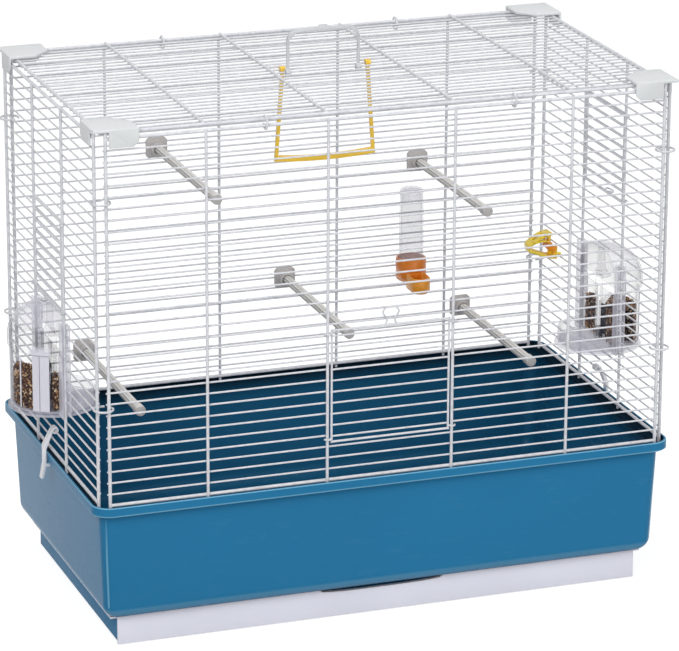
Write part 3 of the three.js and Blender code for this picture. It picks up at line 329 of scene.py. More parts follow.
def meshPiece(name, mesh, finish, node, sharp=38):
    for polygon in mesh.polygons:
        polygon.use_smooth = True
    mesh.set_sharp_from_angle(angle=math.radians(sharp))
    mesh.materials.clear()
    mesh.materials.append(finishes[finish])
    piece = linked(name, mesh)
    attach(piece, bodyOf[node])
    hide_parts(node)


def meshOf(name, bm, tidy=False):
    if tidy:
        bmesh.ops.remove_doubles(bm, verts=bm.verts, dist=1e-6)
        bmesh.ops.recalc_face_normals(bm, faces=bm.faces)
    mesh = bpy.data.meshes.new(name)
    bm.to_mesh(mesh)
    bm.free()
    return mesh


def joined(name, meshes):
    bm = bmesh.new()
    for mesh in meshes:
        bm.from_mesh(mesh)
        bpy.data.meshes.remove(mesh)
    return meshOf(name, bm)


# a number kept on each point of a mesh, for its material to read
def marked(mesh, name, value):
    layer = mesh.attributes.new(name, "FLOAT", "POINT")
    for i, vertex in enumerate(mesh.vertices):
        layer.data[i].value = value(vertex.co) if callable(value) else value
    return mesh


# clear parts joined, each with how milky it is
def clearMesh(name, parts):
    return joined(name, [marked(mesh, "milk", milk) for mesh, milk in parts])


def baked(obj):
    bpy.context.view_layer.update()
    graph = bpy.context.evaluated_depsgraph_get()
    mesh = bpy.data.meshes.new_from_object(obj.evaluated_get(graph))
    data = obj.data
    bpy.data.objects.remove(obj)
    (bpy.data.curves if isinstance(data, bpy.types.Curve) else bpy.data.meshes).remove(data)
    return mesh


def rounded(mesh, width, segments=2, angle=28):
    obj = linked(mesh.name, mesh)
    bevel = obj.modifiers.new("edges", "BEVEL")
    bevel.width = width * mm
    bevel.segments = segments
    bevel.limit_method = "ANGLE"
    bevel.angle_limit = math.radians(angle)
    bevel.miter_outer = "MITER_ARC"
    return baked(obj)


# a copy of a solid with its loose triangles joined and its edges rounded
def softened(node, width, segments):
    bm = bmesh.new()
    bm.from_mesh(frame["nodes"][node].data)
    bmesh.ops.remove_doubles(bm, verts=bm.verts, dist=1e-5)
    bmesh.ops.dissolve_limit(bm, angle_limit=math.radians(1.5), verts=bm.verts, edges=bm.edges)
    return rounded(meshOf(node, bm), width, segments)


# the five grilles' own frames: where they start, along u, outwards n and up v
walls = {"roof": (Vector((0, -roofHalfY, roofZ)), Vector((1, 0, 0)), Vector((0, 0, 1)), Vector((0, 1, 0)))}
for wall, x, y in (("front", 0, -1), ("right", 1, 0), ("back", 0, 1), ("left", -1, 0)):
    walls[wall] = (Vector((x * grid["sideX"], y * grid["frontY"], grid["bottomZ"])), Vector((-y, x, 0)),
                   Vector((x, y, 0)), Vector((0, 0, 1)))


def at(wall, u, n, v):
    origin, along, out, up = walls[wall]
    return origin + along * u + out * n + up * v


# a point of a wall in metres, its height given from the ground
def placed(wall, u, n, z):
    return at(wall, u, n, z - grid["bottomZ"]) * mm


# faces between two closed lines of points
def ribbon(bm, first, second):
    for i in range(len(first)):
        k = (i + 1) % len(first)
        bm.faces.new((first[i], second[i], second[k], first[k]))


# a profile of (radius, height) pairs turned about an upright axis at (u, n) of a wall
def turnedMesh(wall, profile, centre=(0, 0), segments=56, start=0.0, sweep=360.0):
    bm = bmesh.new()
    count = segments if sweep == 360 else segments + 1
    rings = []
    for i in range(count):
        angle = math.radians(start + sweep * i / segments)
        x, y = math.cos(angle), math.sin(angle)
        rings.append([bm.verts.new(placed(wall, centre[0] + r * x, centre[1] + r * y, z)) for r, z in profile])
    for i in range(segments):
        ribbon(bm, rings[i], rings[(i + 1) % count])
    if count > segments:
        bm.faces.new(list(reversed(rings[0])))
        bm.faces.new(rings[-1])
    return meshOf("turned", bm, True)


# an outline pushed along a wall's height v, stand n or length u, with its edges eased
def prismMesh(wall, outline, low, high, axis="v", edge=0.0, segments=2, angle=28):
    order = {"v": (0, 1, 2), "n": (0, 2, 1), "u": (2, 0, 1)}[axis]
    bm = bmesh.new()
    near, far = ([bm.verts.new(placed(wall, *((*point, level)[i] for i in order))) for point in outline]
                 for level in (low, high))
    bm.faces.new(near)
    bm.faces.new(list(reversed(far)))
    ribbon(bm, near, far)
    mesh = meshOf("prism", bm, True)
    return rounded(mesh, edge, segments, angle) if edge else mesh


# faces from each loop of points to the next
def skinned(bm, loops):
    for lower, upper in zip(loops, loops[1:]):
        for j in range(len(lower)):
            k = (j + 1) % len(lower)
            bm.faces.new((lower[j], lower[k], upper[k], upper[j]))


# a hook over a row wire of a wall, reaching back into the cage
hookLook = {"outline": [(2.8, -1.8), (2.8, 2.8), ("back", 2.8), ("back", 1.2), (1.2, 1.2), (1.2, -1.8)],
            "half": 2.0, "edge": 0.4}


def wireHook(wall, u, row, back):
    outline = [(back if n == "back" else n, rowZ(row) + z) for n, z in hookLook["outline"]]
    return prismMesh(wall, outline, u - hookLook["half"], u + hookLook["half"], "u", hookLook["edge"])


# a wire bent through points given in millimetres
def bentMesh(name, points, gauge):
    curve = bpy.data.curves.new(name, "CURVE")
    curve.dimensions = "3D"
    curve.bevel_depth = gauge * mm / 2
    curve.bevel_resolution = 3
    curve.use_fill_caps = True
    spline = curve.splines.new("BEZIER")
    spline.bezier_points.add(len(points) - 1)
    spline.resolution_u = 4
    for knot, point in zip(spline.bezier_points, points):
        knot.co = Vector(point) * mm
        knot.handle_left_type = knot.handle_right_type = "AUTO"
    return baked(linked(name, curve))


# a geometry nodes tree with named inputs, the last of them its material
class GeometryTree(Nodes):
    def __init__(self, name, **inputs):
        self.tree = bpy.data.node_groups.new(name, "GeometryNodeTree")
        socket = self.tree.interface.new_socket
        self.keys = {}
        for kind, labels in {**inputs, "Material": "Material"}.items():
            for label in labels.split():
                made = socket(name=label, in_out="INPUT", socket_type=f"NodeSocket{kind}")
                self.keys[label] = made.identifier
        socket(name="Geometry", in_out="OUTPUT", socket_type="NodeSocketGeometry")
        self.given = self.tree.nodes.new("NodeGroupInput")
        self.result = self.tree.nodes.new("NodeGroupOutput")

    def __getitem__(self, label):
        return Field(self, self.given.outputs[label])

    def random(self, low, high, seed, kind="FLOAT_VECTOR"):
        first = 0 if kind == "FLOAT_VECTOR" else 2
        return self.node("FunctionNodeRandomValue", {"data_type": kind}, {
            first: low, first + 1: high, "Seed": seed}, out=first // 2)

    def finish(self, geometry):
        solid = self.node("GeometryNodeRealizeInstances", {}, {0: geometry})
        painted = self.node("GeometryNodeSetMaterial", {}, {"Geometry": solid, "Material": self["Material"]})
        self.tree.links.new(painted.link, self.result.inputs[0])
        return self

    def run(self, name, values, host=None):
        obj = linked(name, host or bpy.data.meshes.new(name))
        modifier = obj.modifiers.new("nodes", "NODES")
        modifier.node_group = self.tree
        for label, value in values.items():
            modifier[self.keys[label]] = value
        return baked(obj)


# parallel wires: one straight wire repeated by a step, each a hair out of true
tree = GeometryTree("parallelWires", Vector="Start Step Reach", Int="Count Sides Seed", Float="Gauge Waver")
line = tree.node("GeometryNodeCurvePrimitiveLine", {}, {"Start": (0, 0, 0), "End": tree["Reach"]})
ring = tree.node("GeometryNodeCurvePrimitiveCircle", {}, {
    "Resolution": tree["Sides"], "Radius": tree["Gauge"] * 0.5})
wire = tree.node("GeometryNodeCurveToMesh", {}, {"Curve": line, "Profile Curve": ring, "Fill Caps": True})
places = tree.node("GeometryNodeMeshLine", {"mode": "OFFSET"}, {
    "Count": tree["Count"], "Start Location": tree["Start"], "Offset": tree["Step"]})
moved = tree.node("GeometryNodeSetPosition", {}, {
    "Geometry": places, "Offset": tree.random(0 - tree["Waver"], tree["Waver"], tree["Seed"])})
wireTree = tree.finish(tree.node("GeometryNodeInstanceOnPoints", {}, {"Points": moved, "Instance": wire}))


def wireRun(wall, start, step, count, reach, gauge, seed=0, waver=0.0):
    turn = Matrix((walls[wall][1:])).transposed()
    return wireTree.run("run", {
        "Start": at(wall, *start) * mm, "Step": (turn @ Vector(step)) * mm, "Count": count,
        "Reach": (turn @ Vector(reach)) * mm, "Gauge": gauge * mm, "Sides": grid["sides"],
        "Waver": waver * mm, "Seed": seed, "Material": finishes["wire"]})


# heavy wires sit outside the thin ones, and cut wires a little inside them
grille = {"railOut": 0.7, "crossOut": 2.25, "cutOut": -0.1, "waver": 0.12}


def grilleMesh(wall, halfSpan, rise, rows, crosses, window, seed, foot=grid["foot"], head=grid["head"]):
    step, out, end = rise / rows, grille["railOut"], halfSpan + grid["overhang"]
    rail, cross, thin, waver = grid["rail"], grid["cross"], grid["thin"], grille["waver"]
    up, full = (0, 0, step), (2 * end, 0, 0)
    low, high, gap = window or (rows - 1, 0, 0)
    runs = [((-halfSpan, out, -foot), (2 * halfSpan, 0, 0), 2, (0, 0, rise + foot + head), rail),
            ((-halfSpan, out, 0), (0, 0, rise), 2, (2 * halfSpan, 0, 0), rail)]
    runs += [((-u, grille["crossOut"], -foot), (2 * u, 0, 0), 2, (0, 0, rise + foot + cross / 2), cross)
             for u in crosses]
    runs.append(((-end, 0, step), up, low, full, thin, seed, waver))
    if window:
        runs.append(((-end, 0, high * step), up, rows - high, full, thin, seed + 1, waver))
        runs += [((start, grille["cutOut"], (low + 1) * step), up, high - low - 1, (end - gap, 0, 0), thin,
                  seed + extra, waver) for start, extra in ((-end, 2), (gap, 3))]
    return joined("wires", [wireRun(wall, *run) for run in runs])


print("scene: grilles")
frontCrosses = [grid["doorCross"], grid["outerCross"]]
frontWindow = (*grid["doorRows"], grid["doorCross"])
sideWindow = (*grid["feederRows"], grid["sideCross"])
for wall, span, crosses, window, seed in (
        ("front", frontSpan, frontCrosses, frontWindow, 10), ("back", frontSpan, frontCrosses, None, 20),
        ("left", sideSpan, [grid["sideCross"]], sideWindow, 30),
        ("right", sideSpan, [grid["sideCross"]], sideWindow, 40)):
    wires = grilleMesh(wall, span, grid["rise"], grid["rows"], crosses, window, seed)
    meshPiece(f"{wall}Wires", wires, "wire", f"{wall}_panel")
wires = grilleMesh("roof", roofHalfX, 2 * roofHalfY, grid["roofRows"], frontCrosses, None, 50, foot=0, head=0)
meshPiece("roofWires", wires, "wire", "roof_panel")


print("scene: rings")
ringLook = {"gauge": 2.2, "gap": 45, "cornerRadius": 9.02, "roofRadius": 6.19, "roofX": 124.0,
            "rows": {"upper": 26.5, "lower": 8.5}}
cornerSigns = {"front_left": (-1, -1), "front_right": (1, -1), "back_right": (1, 1), "back_left": (-1, 1)}


def ringMesh(centre, radius, openAt, first, second):
    start = openAt + ringLook["gap"] / 2
    points = [Vector(centre) + Vector(first) * a + Vector(second) * b
              for a, b in arc((0, 0), radius, start, start + 360 - ringLook["gap"], 12)]
    return bentMesh("ring", points, ringLook["gauge"])


for corner, (sx, sy) in cornerSigns.items():
    for level, row in ringLook["rows"].items():
        inset, openAt = grid["cornerGap"] / 2, math.degrees(math.atan2(-sy, -sx))
        centre = (sx * (grid["sideX"] - inset), sy * (grid["frontY"] - inset), rowZ(row))
        ring = ringMesh(centre, ringLook["cornerRadius"], openAt, (1, 0, 0), (0, 1, 0))
        meshPiece(f"{level}Ring_{corner}", ring, "wire", f"ring_{level}_{corner}")
    centre = (sx * ringLook["roofX"], sy * (grid["frontY"] - grid["roofInset"] / 2),
              roofZ - grid["roofLift"] / 2)
    ring = ringMesh(centre, ringLook["roofRadius"], 0, (0, 1, 0), (0, 0, 1))
    meshPiece(f"roofRing_{corner}", ring, "wire", f"ring_roof_{corner}")


print("scene: wire doors")
doorLook = {
    "stand": 2.7, "wire": 2.2, "hook": 1.8, "hookRadius": 2.93, "hookInset": 4.0, "barOut": 2.65, "sink": 0.4,
    "loopRise": 17.6, "loopReach": 8.6, "gateLift": {"left": 0, "right": 5}, "gateRows": 8,
    "loop": [(6, 0), (4.3, 0.2), (4, 0.38), (6.6, 0.55), (8, 0.72), (6.4, 0.9), (3, 1.0)],
}


def doorMesh(wall, cross, low, high, rows, pull, seed):
    stand, wire, radius = doorLook["stand"], doorLook["wire"], doorLook["hookRadius"]
    edge, half = wire / 2, cross - radius - wire / 2
    across = (2 * half + 2, 0, 0)
    parts = [
        wireRun(wall, (-half, stand, low), (2 * half, 0, 0), 2, (0, 0, high - low), wire),
        wireRun(wall, (-half - 1, stand, low + edge), (0, 0, high - low - 2 * edge), 2, across, wire),
        wireRun(wall, (-half - 1, stand - doorLook["sink"], rows[0] * pitch), (0, 0, pitch), len(rows), across,
                grid["thin"], seed, grille["waver"]),
    ]
    for side in (-1, 1):
        for v in (low + doorLook["hookInset"], high - doorLook["hookInset"]):
            points = [at(wall, side * (half - 1), doorLook["barOut"], v)]
            points += [at(wall, side * (cross - a), doorLook["barOut"] + b, v)
                       for a, b in arc((0, 0), radius, 0, 180, 6)]
            parts.append(bentMesh("hook", points, doorLook["hook"]))
    parts.append(bentMesh("pull", [at(wall, *point) for point in pull], doorLook["hook"]))
    return joined("door", parts)


def pullPoints(foot, rise, reach):
    whole = doorLook["loop"] + [(-u, share) for u, share in reversed(doorLook["loop"])]
    return [(u, doorLook["stand"] + reach * share, foot + rise * share) for u, share in whole]


firstRow, lastRow = grid["doorRows"]
low, high, edge = (firstRow + 0.4) * pitch, (lastRow - 0.4) * pitch, doorLook["wire"] / 2
meshPiece("frontDoorWires", doorMesh("front", grid["doorCross"], low, high, range(firstRow + 1, lastRow),
          pullPoints(high - edge, doorLook["loopRise"], 0), 60), "wire", "front_door")
for side, lift in doorLook["gateLift"].items():
    row = grid["feederRows"][1] + lift
    last = row + doorLook["gateRows"]
    low, high = (row - 0.25) * pitch, (last + 0.25) * pitch
    meshPiece(f"{side}GateWires", doorMesh(side, grid["sideCross"], low, high, range(row, last + 1),
              pullPoints(low + edge, 0, doorLook["loopReach"]), 70 + lift), "wire", f"{side}_gate")


print("scene: tray")
trayLook = {
    "halfX": 295.0, "halfY": 170.0, "top": 150.0, "rimHeight": 9.5, "lip": 2.4, "round": 0.9, "ledge": 145.0,
    "wallInset": 8.0, "taper": 4.0, "wall": 2.6, "foot": 30.0, "bottomRound": 15.0, "flange": 12.0,
    "cornerRadius": 18.0, "cornerSteps": 14, "bottomSteps": 9, "rimSteps": 4, "ledgeInset": 12.0,
    # painted highlights on the rim's edges, the middle of each corner and a band of the foot; painted shade
    # under the foot, on the inner walls and on the ledge under the rim
    "rimBright": 0.75, "cornerBright": 0.75, "footBright": 0.25, "footInside": (0.0, 1.0, 1.0, 1.0, 0.7),
    "wallInside": (0.5, 0.6), "paleFrom": 110.0,
    "ribHalf": 66.0, "rib": (-25.5, -23.5), "ribFoot": 24.4, "ribInside": 0.72,
}


def trayMesh(look):
    r, e, lip, ledge, top = look["bottomRound"], look["round"], look["lip"], look["ledge"], look["top"]
    foot, wall, side, edge = look["foot"], look["wall"], look["wallInset"], look["ledgeInset"]
    rimFoot, wallFoot = top - look["rimHeight"], side + look["taper"]
    outer = arc((wallFoot + r, foot + r), r, 270, 180, look["bottomSteps"])
    half, middle = (side + wallFoot) / 2, (foot + r + rimFoot) / 2
    profile = [(wallFoot + r + look["flange"], foot)] + outer
    profile += [(half + 0.1, middle), (side, rimFoot + lip - 0.6), (side - 0.6, rimFoot + lip),
                (lip, rimFoot + lip), (lip, rimFoot + 0.4), (lip - 0.4, rimFoot), (e, rimFoot),
                (0, rimFoot + e)]
    rimEdges = [len(profile) - 2, len(profile) - 1]
    profile += [(0, rimFoot + e + 1.0), (0, top - e - 0.8)] + arc((e, top - e), e, 180, 90, look["rimSteps"])
    rimEdges += [len(profile) - 4, len(profile) - 3, len(profile) - 2]
    profile += [(lip - 0.4, top), (lip, top - 0.4), (lip, ledge + 0.5), (lip + 0.5, ledge), (edge - 0.5, ledge),
                (edge, ledge - 0.5)]
    wallTop = len(profile) - 1
    profile += [(12.4, 127.0), (half + wall + 0.1, middle)]
    profile += [(inset + wall, z + wall) for inset, z in reversed(outer)]
    profile += [(wallFoot + r + look["flange"], foot + wall)]

    # painted shade for each row: the foot's underside, the inner walls and the ledge in the rim's shade
    def shadeAt(row, z):
        if row > wallTop:
            return look["wallInside"][z > look["paleFrom"]]
        return look["footInside"][row] if row < len(look["footInside"]) else float(row >= wallTop - 4)

    # painted highlights for each row: thin light lines on the rim's edges, the middle of each corner and a band
    # on the foot's rounding
    def highlightAt(row, step):
        if row in rimEdges:
            return look["rimBright"]
        if look["bottomSteps"] < row <= look["bottomSteps"] + 2 and 2 * step == look["cornerSteps"]:
            return look["cornerBright"]
        return look["footBright"] if 6 <= row <= 8 else 0.0
    bm = bmesh.new()
    inside = bm.verts.layers.float.new("inside")
    bright = bm.verts.layers.float.new("bright")
    loops = []
    for row, (inset, z) in enumerate(profile):
        radius = max(look["cornerRadius"] - inset / 2, wall)
        loop = []
        for corner, (sx, sy) in enumerate(((1, 1), (-1, 1), (-1, -1), (1, -1))):
            centre = (sx * (look["halfX"] - inset - radius), sy * (look["halfY"] - inset - radius))
            bend = arc(centre, radius, 90 * corner, 90 * corner + 90, look["cornerSteps"])
            for step, (x, y) in enumerate(bend):
                vert = bm.verts.new((x * mm, y * mm, z * mm))
                vert[inside], vert[bright] = shadeAt(row, z), highlightAt(row, step)
                loop.append(vert)
        loops.append(loop)
    skinned(bm, loops + loops[:1])
    return meshOf("tray", bm)


# a rib under the tray closes the view through the drawer's scoop; it is drawn dark as painted shade
def trayRibMesh(look):
    (near, far), low, high = look["rib"], look["ribFoot"], look["foot"] + 1
    outline = [(near, low), (far, low), (far, high), (near, high)]
    rib = prismMesh("front", outline, -look["ribHalf"], look["ribHalf"], "u", 0.4)
    return marked(rib, "inside", look["ribInside"])


meshPiece("trayShell", joined("tray", [trayMesh(trayLook), trayRibMesh(trayLook)]), "tray", "tray")


print("scene: moulded pieces")
# piece, node, finish, width of the rounded edges and their steps
softPieces = [
    ("basePanShell", "base_pan", "pan", 0.7, 3), ("drawerShell", "drawer", "drawer", 0.4, 3),
    ("handleArch", "handle", "handle", 1.0, 3), ("swingFrame", "swing", "yellow", 1.3, 3),
    ("leftTrayLever", "left_tray_clip", "lever", 0.5, 2),
    ("rightTrayLever", "right_tray_clip", "lever", 0.5, 2),
]
softPieces += [(f"cap_{corner}_shell", f"cap_{corner}", "cap", 0.8, 3) for corner in cornerSigns]
softPieces += [(f"foot_{corner}_pad", f"foot_{corner}", "pad", 0.3, 2) for corner in cornerSigns]
softPieces += [(f"perchClip{index}", f"perch_{index}_clip", "clip", 0.5, 2) for index in range(1, 6)]
panLook = {"halfX": 0.2655, "floor": 0.004, "inside": 0.5}
scoop = {"half": 0.0645, "foot": 0.0225, "top": 0.0297, "back": -0.1395, "share": 0.64,
         "lip": (-0.14499, -0.1435)}


def inScoop(point):
    return abs(point.x) < scoop["half"] and scoop["foot"] < point.z < scoop["top"]


# the drawer's scoop made shallower, with a painted highlight along its front lip
def shallowScoop(mesh):
    for vertex in mesh.vertices:
        if inScoop(vertex.co) and vertex.co.y < scoop["back"]:
            vertex.co.z = scoop["top"] - (scoop["top"] - vertex.co.z) * scoop["share"]
    marked(mesh, "bright", lambda p: float(inScoop(p) and scoop["lip"][0] < p.y < scoop["lip"][1]))


for name, node, finish, width, segments in softPieces:
    mesh = softened(node, width, segments)
    # painted shade: the pan's inner faces are drawn darker
    if node == "base_pan":
        marked(mesh, "inside", lambda p: panLook["inside"] * (
            abs(p.x) < panLook["halfX"] and p.z > panLook["floor"]))
    if node == "drawer":
        shallowScoop(mesh)
    meshPiece(name, mesh, finish, node)


print("scene: perches")
perchLook = {
    "reach": 195.0, "radius": 4.8, "ribs": 9, "groove": 0.2, "ribRound": 0.6, "start": 4.5,
    "endRadius": 5.4, "endLength": 12.0, "endRound": 0.8,
    "places": [(-0.47, 22.5), (0.535, 19), (0.018, 9), (0.713, 4.5), (-0.753, 4)],
}


# a ribbed rod: a star outline with eased corners, drawn along a straight line
tree = GeometryTree("ribbedRod", Vector="From To", Int="Ribs", Float="Radius Groove Round")
line = tree.node("GeometryNodeCurvePrimitiveLine", {}, {"Start": tree["From"], "End": tree["To"]})
steps = tree.node("GeometryNodeResampleCurve", {}, {"Curve": line, "Count": 24})
star = tree.node("GeometryNodeCurveStar", {}, {
    "Points": tree["Ribs"], "Outer Radius": tree["Radius"], "Inner Radius": tree["Radius"] * tree["Groove"]})
eased = tree.node("GeometryNodeFilletCurve", {"mode": "POLY"}, {
    "Curve": star, "Count": 3, "Radius": tree["Round"]})
rodTree = tree.finish(tree.node("GeometryNodeCurveToMesh", {}, {
    "Curve": steps, "Profile Curve": eased, "Fill Caps": True}))
for index, (share, row) in enumerate(perchLook["places"], 1):
    look, u = perchLook, -share * frontSpan
    end = -look["start"] - look["reach"]
    rod = rodTree.run("rod", {
        "From": at("back", u, -look["start"], row * pitch) * mm,
        "To": at("back", u, end + look["endLength"] / 2, row * pitch) * mm,
        "Ribs": look["ribs"], "Radius": look["radius"] * mm, "Groove": 1 - look["groove"],
        "Round": look["ribRound"] * mm, "Material": finishes["perch"]})
    tip = arc((u, rowZ(row)), look["endRadius"], 15, 345, 11)
    cap = prismMesh("back", tip, end, end + look["endLength"], "n", look["endRound"], 3)
    meshPiece(f"perchRod{index}", joined("rod", [rod, cap]), "perch", f"perch_{index}_rod", 50)


print("scene: feeders")
feeder = {
    "frameFoot": 199.9, "drumFoot": 203.0, "drumTop": 261.5, "hoodRim": 262.5, "hoodFoot": 271.5,
    "hoodTop": 303.18, "hoodRadius": 44.0, "hoodRound": 31.5, "postTop": 295.0, "drumRadius": 41.0, "wall": 2.0,
    "archBack": 2.9, "archFront": 1.22, "bossRadius": 12.0, "bossNeck": 6.0, "bossHeight": 9.0,
    "axle": 2.6, "axleLength": 5.0, "column": 4.0, "lip": 14.0, "slot": (10, 30), "slotHeight": 9.0,
    "turns": (0.055, 0.12, 0.38, 0.445), "edge": 0.45, "dividerTop": 243.0,
    "ribs": (0.18, 0.32), "ribHalf": 0.6, "ribTop": 258.0, "crownFoot": 288.0,
    # the drum's wall in spans of a turn, each with its milk; the left drum's two milky strips are painted
    # reflections
    "ring": {"left": ((0, 0.058, 0), (0.058, 0.094, 0.8), (0.0965, 0.124, 0.8), (0.124, 0.5, 0)),
             "right": ((0, 0.5, 0),)},
    "milk": {"plate": 0.3, "hood": 0.07, "crown": 0.2, "cloud": 0.8, "boss": 0.1, "post": 0.35, "pin": 0.2,
             "floor": 0.3, "trough": 0.16, "rib": 1.0, "face": 0.04, "divider": 0.02, "column": 0.03},
    "post": [(41.5, 6.15), (53, 6.15), (53, 4.45), (47.97, 4.45), (47.97, -1.2), (53, -1.2), (53, -2.9),
             (41.5, -2.9)],
}


def hoodArc(shrink):
    r = feeder["hoodRound"]
    return arc((feeder["hoodRadius"] - r, feeder["hoodTop"] - r), r - shrink, 0, 90, 10)


def feederFrameMesh(wall):
    f, milk = feeder, feeder["milk"]
    foot, top, thick, edge, rim = f["frameFoot"], f["hoodTop"], f["wall"], f["hoodRadius"], f["hoodRim"]
    roof, bed, shoulder = top - thick, foot + thick, f["hoodFoot"]
    plate = [(0, foot), (edge - 0.7, foot), (edge, foot + 0.6), (edge, foot + 1.4), (edge - 0.7, bed), (0, bed)]
    hood = [(edge - 0.5, rim), (edge, rim + 0.5)] + hoodArc(0) + [(0.4, top), (0.4, roof)]
    hood += list(reversed(hoodArc(thick))) + [(edge - thick, rim + 0.5), (edge - thick + 0.5, rim)]
    arch = [(edge, shoulder)] + hoodArc(0)
    arch += [(-u, z) for u, z in reversed(arch)]
    boss = [(0, shoulder), (f["bossRadius"] - 0.8, shoulder), (f["bossRadius"], shoulder + 0.8),
            (8.4, shoulder + 5), (f["bossNeck"], shoulder + f["bossHeight"]), (5.4, roof - 1),
            (5.4, roof - 0.05), (0, roof - 0.05)]
    pin = [(0, bed), (f["axle"], bed), (f["axle"], f["drumFoot"] + 1.5), (0, f["drumFoot"] + 1.5)]

    # the hood is milky over the left drum's strips, a painted reflection, and milkier at its crown
    def hoodMilk(point):
        offset = point / mm - walls[wall][0]
        turn = math.atan2(offset.dot(walls[wall][2]), offset.dot(walls[wall][1])) / (2 * math.pi)
        reflecting = any(start < turn < stop for start, stop, share in f["ring"][wall] if share > 0)
        if reflecting and point.z < (rim + 1) * mm:
            return milk["cloud"]
        return milk["crown"] if point.z > f["crownFoot"] * mm else milk["hood"]
    parts = [(turnedMesh(wall, plate), milk["plate"]),
             (turnedMesh(wall, hood, segments=40, start=-1.5, sweep=183), hoodMilk),
             (prismMesh(wall, arch, -f["archBack"], -f["archFront"], "n", 0.4), 0.0),
             (turnedMesh(wall, boss, segments=24, start=-1.0, sweep=182), milk["boss"])]
    for side in (-1, 1):
        for least, low, high in ((0, bed + 0.02, rim - 0.05), (edge + 0.1, rim + 0.05, f["postTop"])):
            post = [(side * max(u, least), n) for u, n in f["post"]]
            parts.append((prismMesh(wall, post, low, high, edge=f["edge"]), milk["post"]))
    parts.append((turnedMesh(wall, pin, segments=20), milk["pin"]))
    return clearMesh("feederFrame", parts)


# an upright bar that stands along a radius of the drum
def radialBar(wall, turn, inner, outer, half, low, high, edge):
    angle = 2 * math.pi * turn
    along, across = Vector((math.cos(angle), math.sin(angle))), Vector((-math.sin(angle), math.cos(angle)))
    corners = [tuple(along * reach + across * off)
               for reach, off in ((inner, -half), (outer, -half), (outer, half), (inner, half))]
    return prismMesh(wall, corners, low, high, edge=edge)


def feederDrumMesh(wall):
    f, milk = feeder, feeder["milk"]
    foot, top, thick, outer = f["drumFoot"], f["drumTop"], f["wall"], f["drumRadius"]
    inner, deck, bore, shoulder = outer - thick, foot + thick, f["axle"] + 0.3, f["hoodFoot"] - 0.3
    seat = deck + 0.02

    def band(high, across, down):
        return [(inner, seat), (outer, seat), (outer, high - down), (outer - across, high),
                (inner + across, high), (inner, high - down)]
    floor = [(bore, foot), (outer - 0.6, foot), (outer, foot + 0.6), (outer, deck), (bore, deck)]
    ring, trough = band(top, 0.4, 0.5), band(foot + f["lip"], 0.6, 0.6)
    parts = [(turnedMesh(wall, floor), milk["floor"]),
             (turnedMesh(wall, trough, segments=44, start=181.6, sweep=176.8), milk["trough"])]
    for start, stop, share in f["ring"][wall]:
        span = 360 * (stop - start)
        bow = turnedMesh(wall, ring, segments=max(3, round(span / 4)), start=360 * start, sweep=span - 0.05)
        parts.append((bow, share))
    for turn in f["ribs"]:
        rib = radialBar(wall, turn, outer - 0.3, outer + 0.7, f["ribHalf"], deck + 1, f["ribTop"], 0.2)
        parts.append((rib, milk["rib"]))
    (near, far), slotTop, reach = f["slot"], deck + f["slotHeight"], inner - 0.05
    for side in (-1, 1):
        face = [(4.05, seat), (near, seat), (near, slotTop), (far, slotTop), (far, seat), (reach, seat),
                (reach, top), (4.05, top)]
        face = prismMesh(wall, [(side * u, z) for u, z in face], -thick / 2, thick / 2, "n", 0.4)
        parts.append((face, milk["face"]))
    for turn in f["turns"]:
        divider = radialBar(wall, turn, 4.3, inner - 0.08, 1, seat, f["dividerTop"], 0.35)
        parts.append((divider, milk["divider"]))
    axleTop = f["hoodFoot"] + f["axleLength"]
    core = [(0, deck + 0.05), (f["column"], deck + 0.05), (f["column"], shoulder - 0.4),
            (f["column"] - 0.4, shoulder), (f["axle"], shoulder), (f["axle"], axleTop), (0, axleTop)]
    parts.append((turnedMesh(wall, core, segments=24), milk["column"]))
    return clearMesh("feederDrum", parts)


# a heap of seed: grains, each with a tone of its own, strewn over a core drawn in the darkest tone as painted
# shade between them
seedLook = {
    "grain": 1.5, "shape": (1.25, 0.85, 0.7), "sizes": (0.75, 1.15), "spacing": 1.75, "density": 900000.0,
    "low": 206.3, "high": {"left": 237.0, "right": 241.0}, "inset": 1.4, "clear": 1.3, "toneSeed": 7,
}


tree = GeometryTree("seedHeap", Geometry="Geometry", Float="Spacing Grain", Vector="Shape", Int="Seed")
places = tree.node("GeometryNodeDistributePointsOnFaces", {"distribute_method": "POISSON"}, {
    "Mesh": tree["Geometry"], "Distance Min": tree["Spacing"], "Density Max": seedLook["density"],
    "Seed": tree["Seed"]})
ball = tree.node("GeometryNodeMeshUVSphere", {}, {"Segments": 6, "Rings": 4, "Radius": tree["Grain"]})
grain = tree.node("GeometryNodeTransform", {}, {"Geometry": ball, "Scale": tree["Shape"]})
grains = tree.node("GeometryNodeInstanceOnPoints", {}, {
    "Points": places, "Instance": grain, "Rotation": tree.random((0, 0, 0), (6.28, 6.28, 6.28), tree["Seed"]),
    "Scale": tree.random(*seedLook["sizes"], tree["Seed"], "FLOAT")})
toned = tree.node("GeometryNodeStoreNamedAttribute", {"data_type": "FLOAT", "domain": "INSTANCE"}, {
    "Geometry": grains, "Name": "tone", "Value": tree.random(0.0, 1.0, seedLook["toneSeed"], "FLOAT")})
seedTree = tree.finish(tree.node("GeometryNodeJoinGeometry", {}, {0: [tree["Geometry"], toned]}))


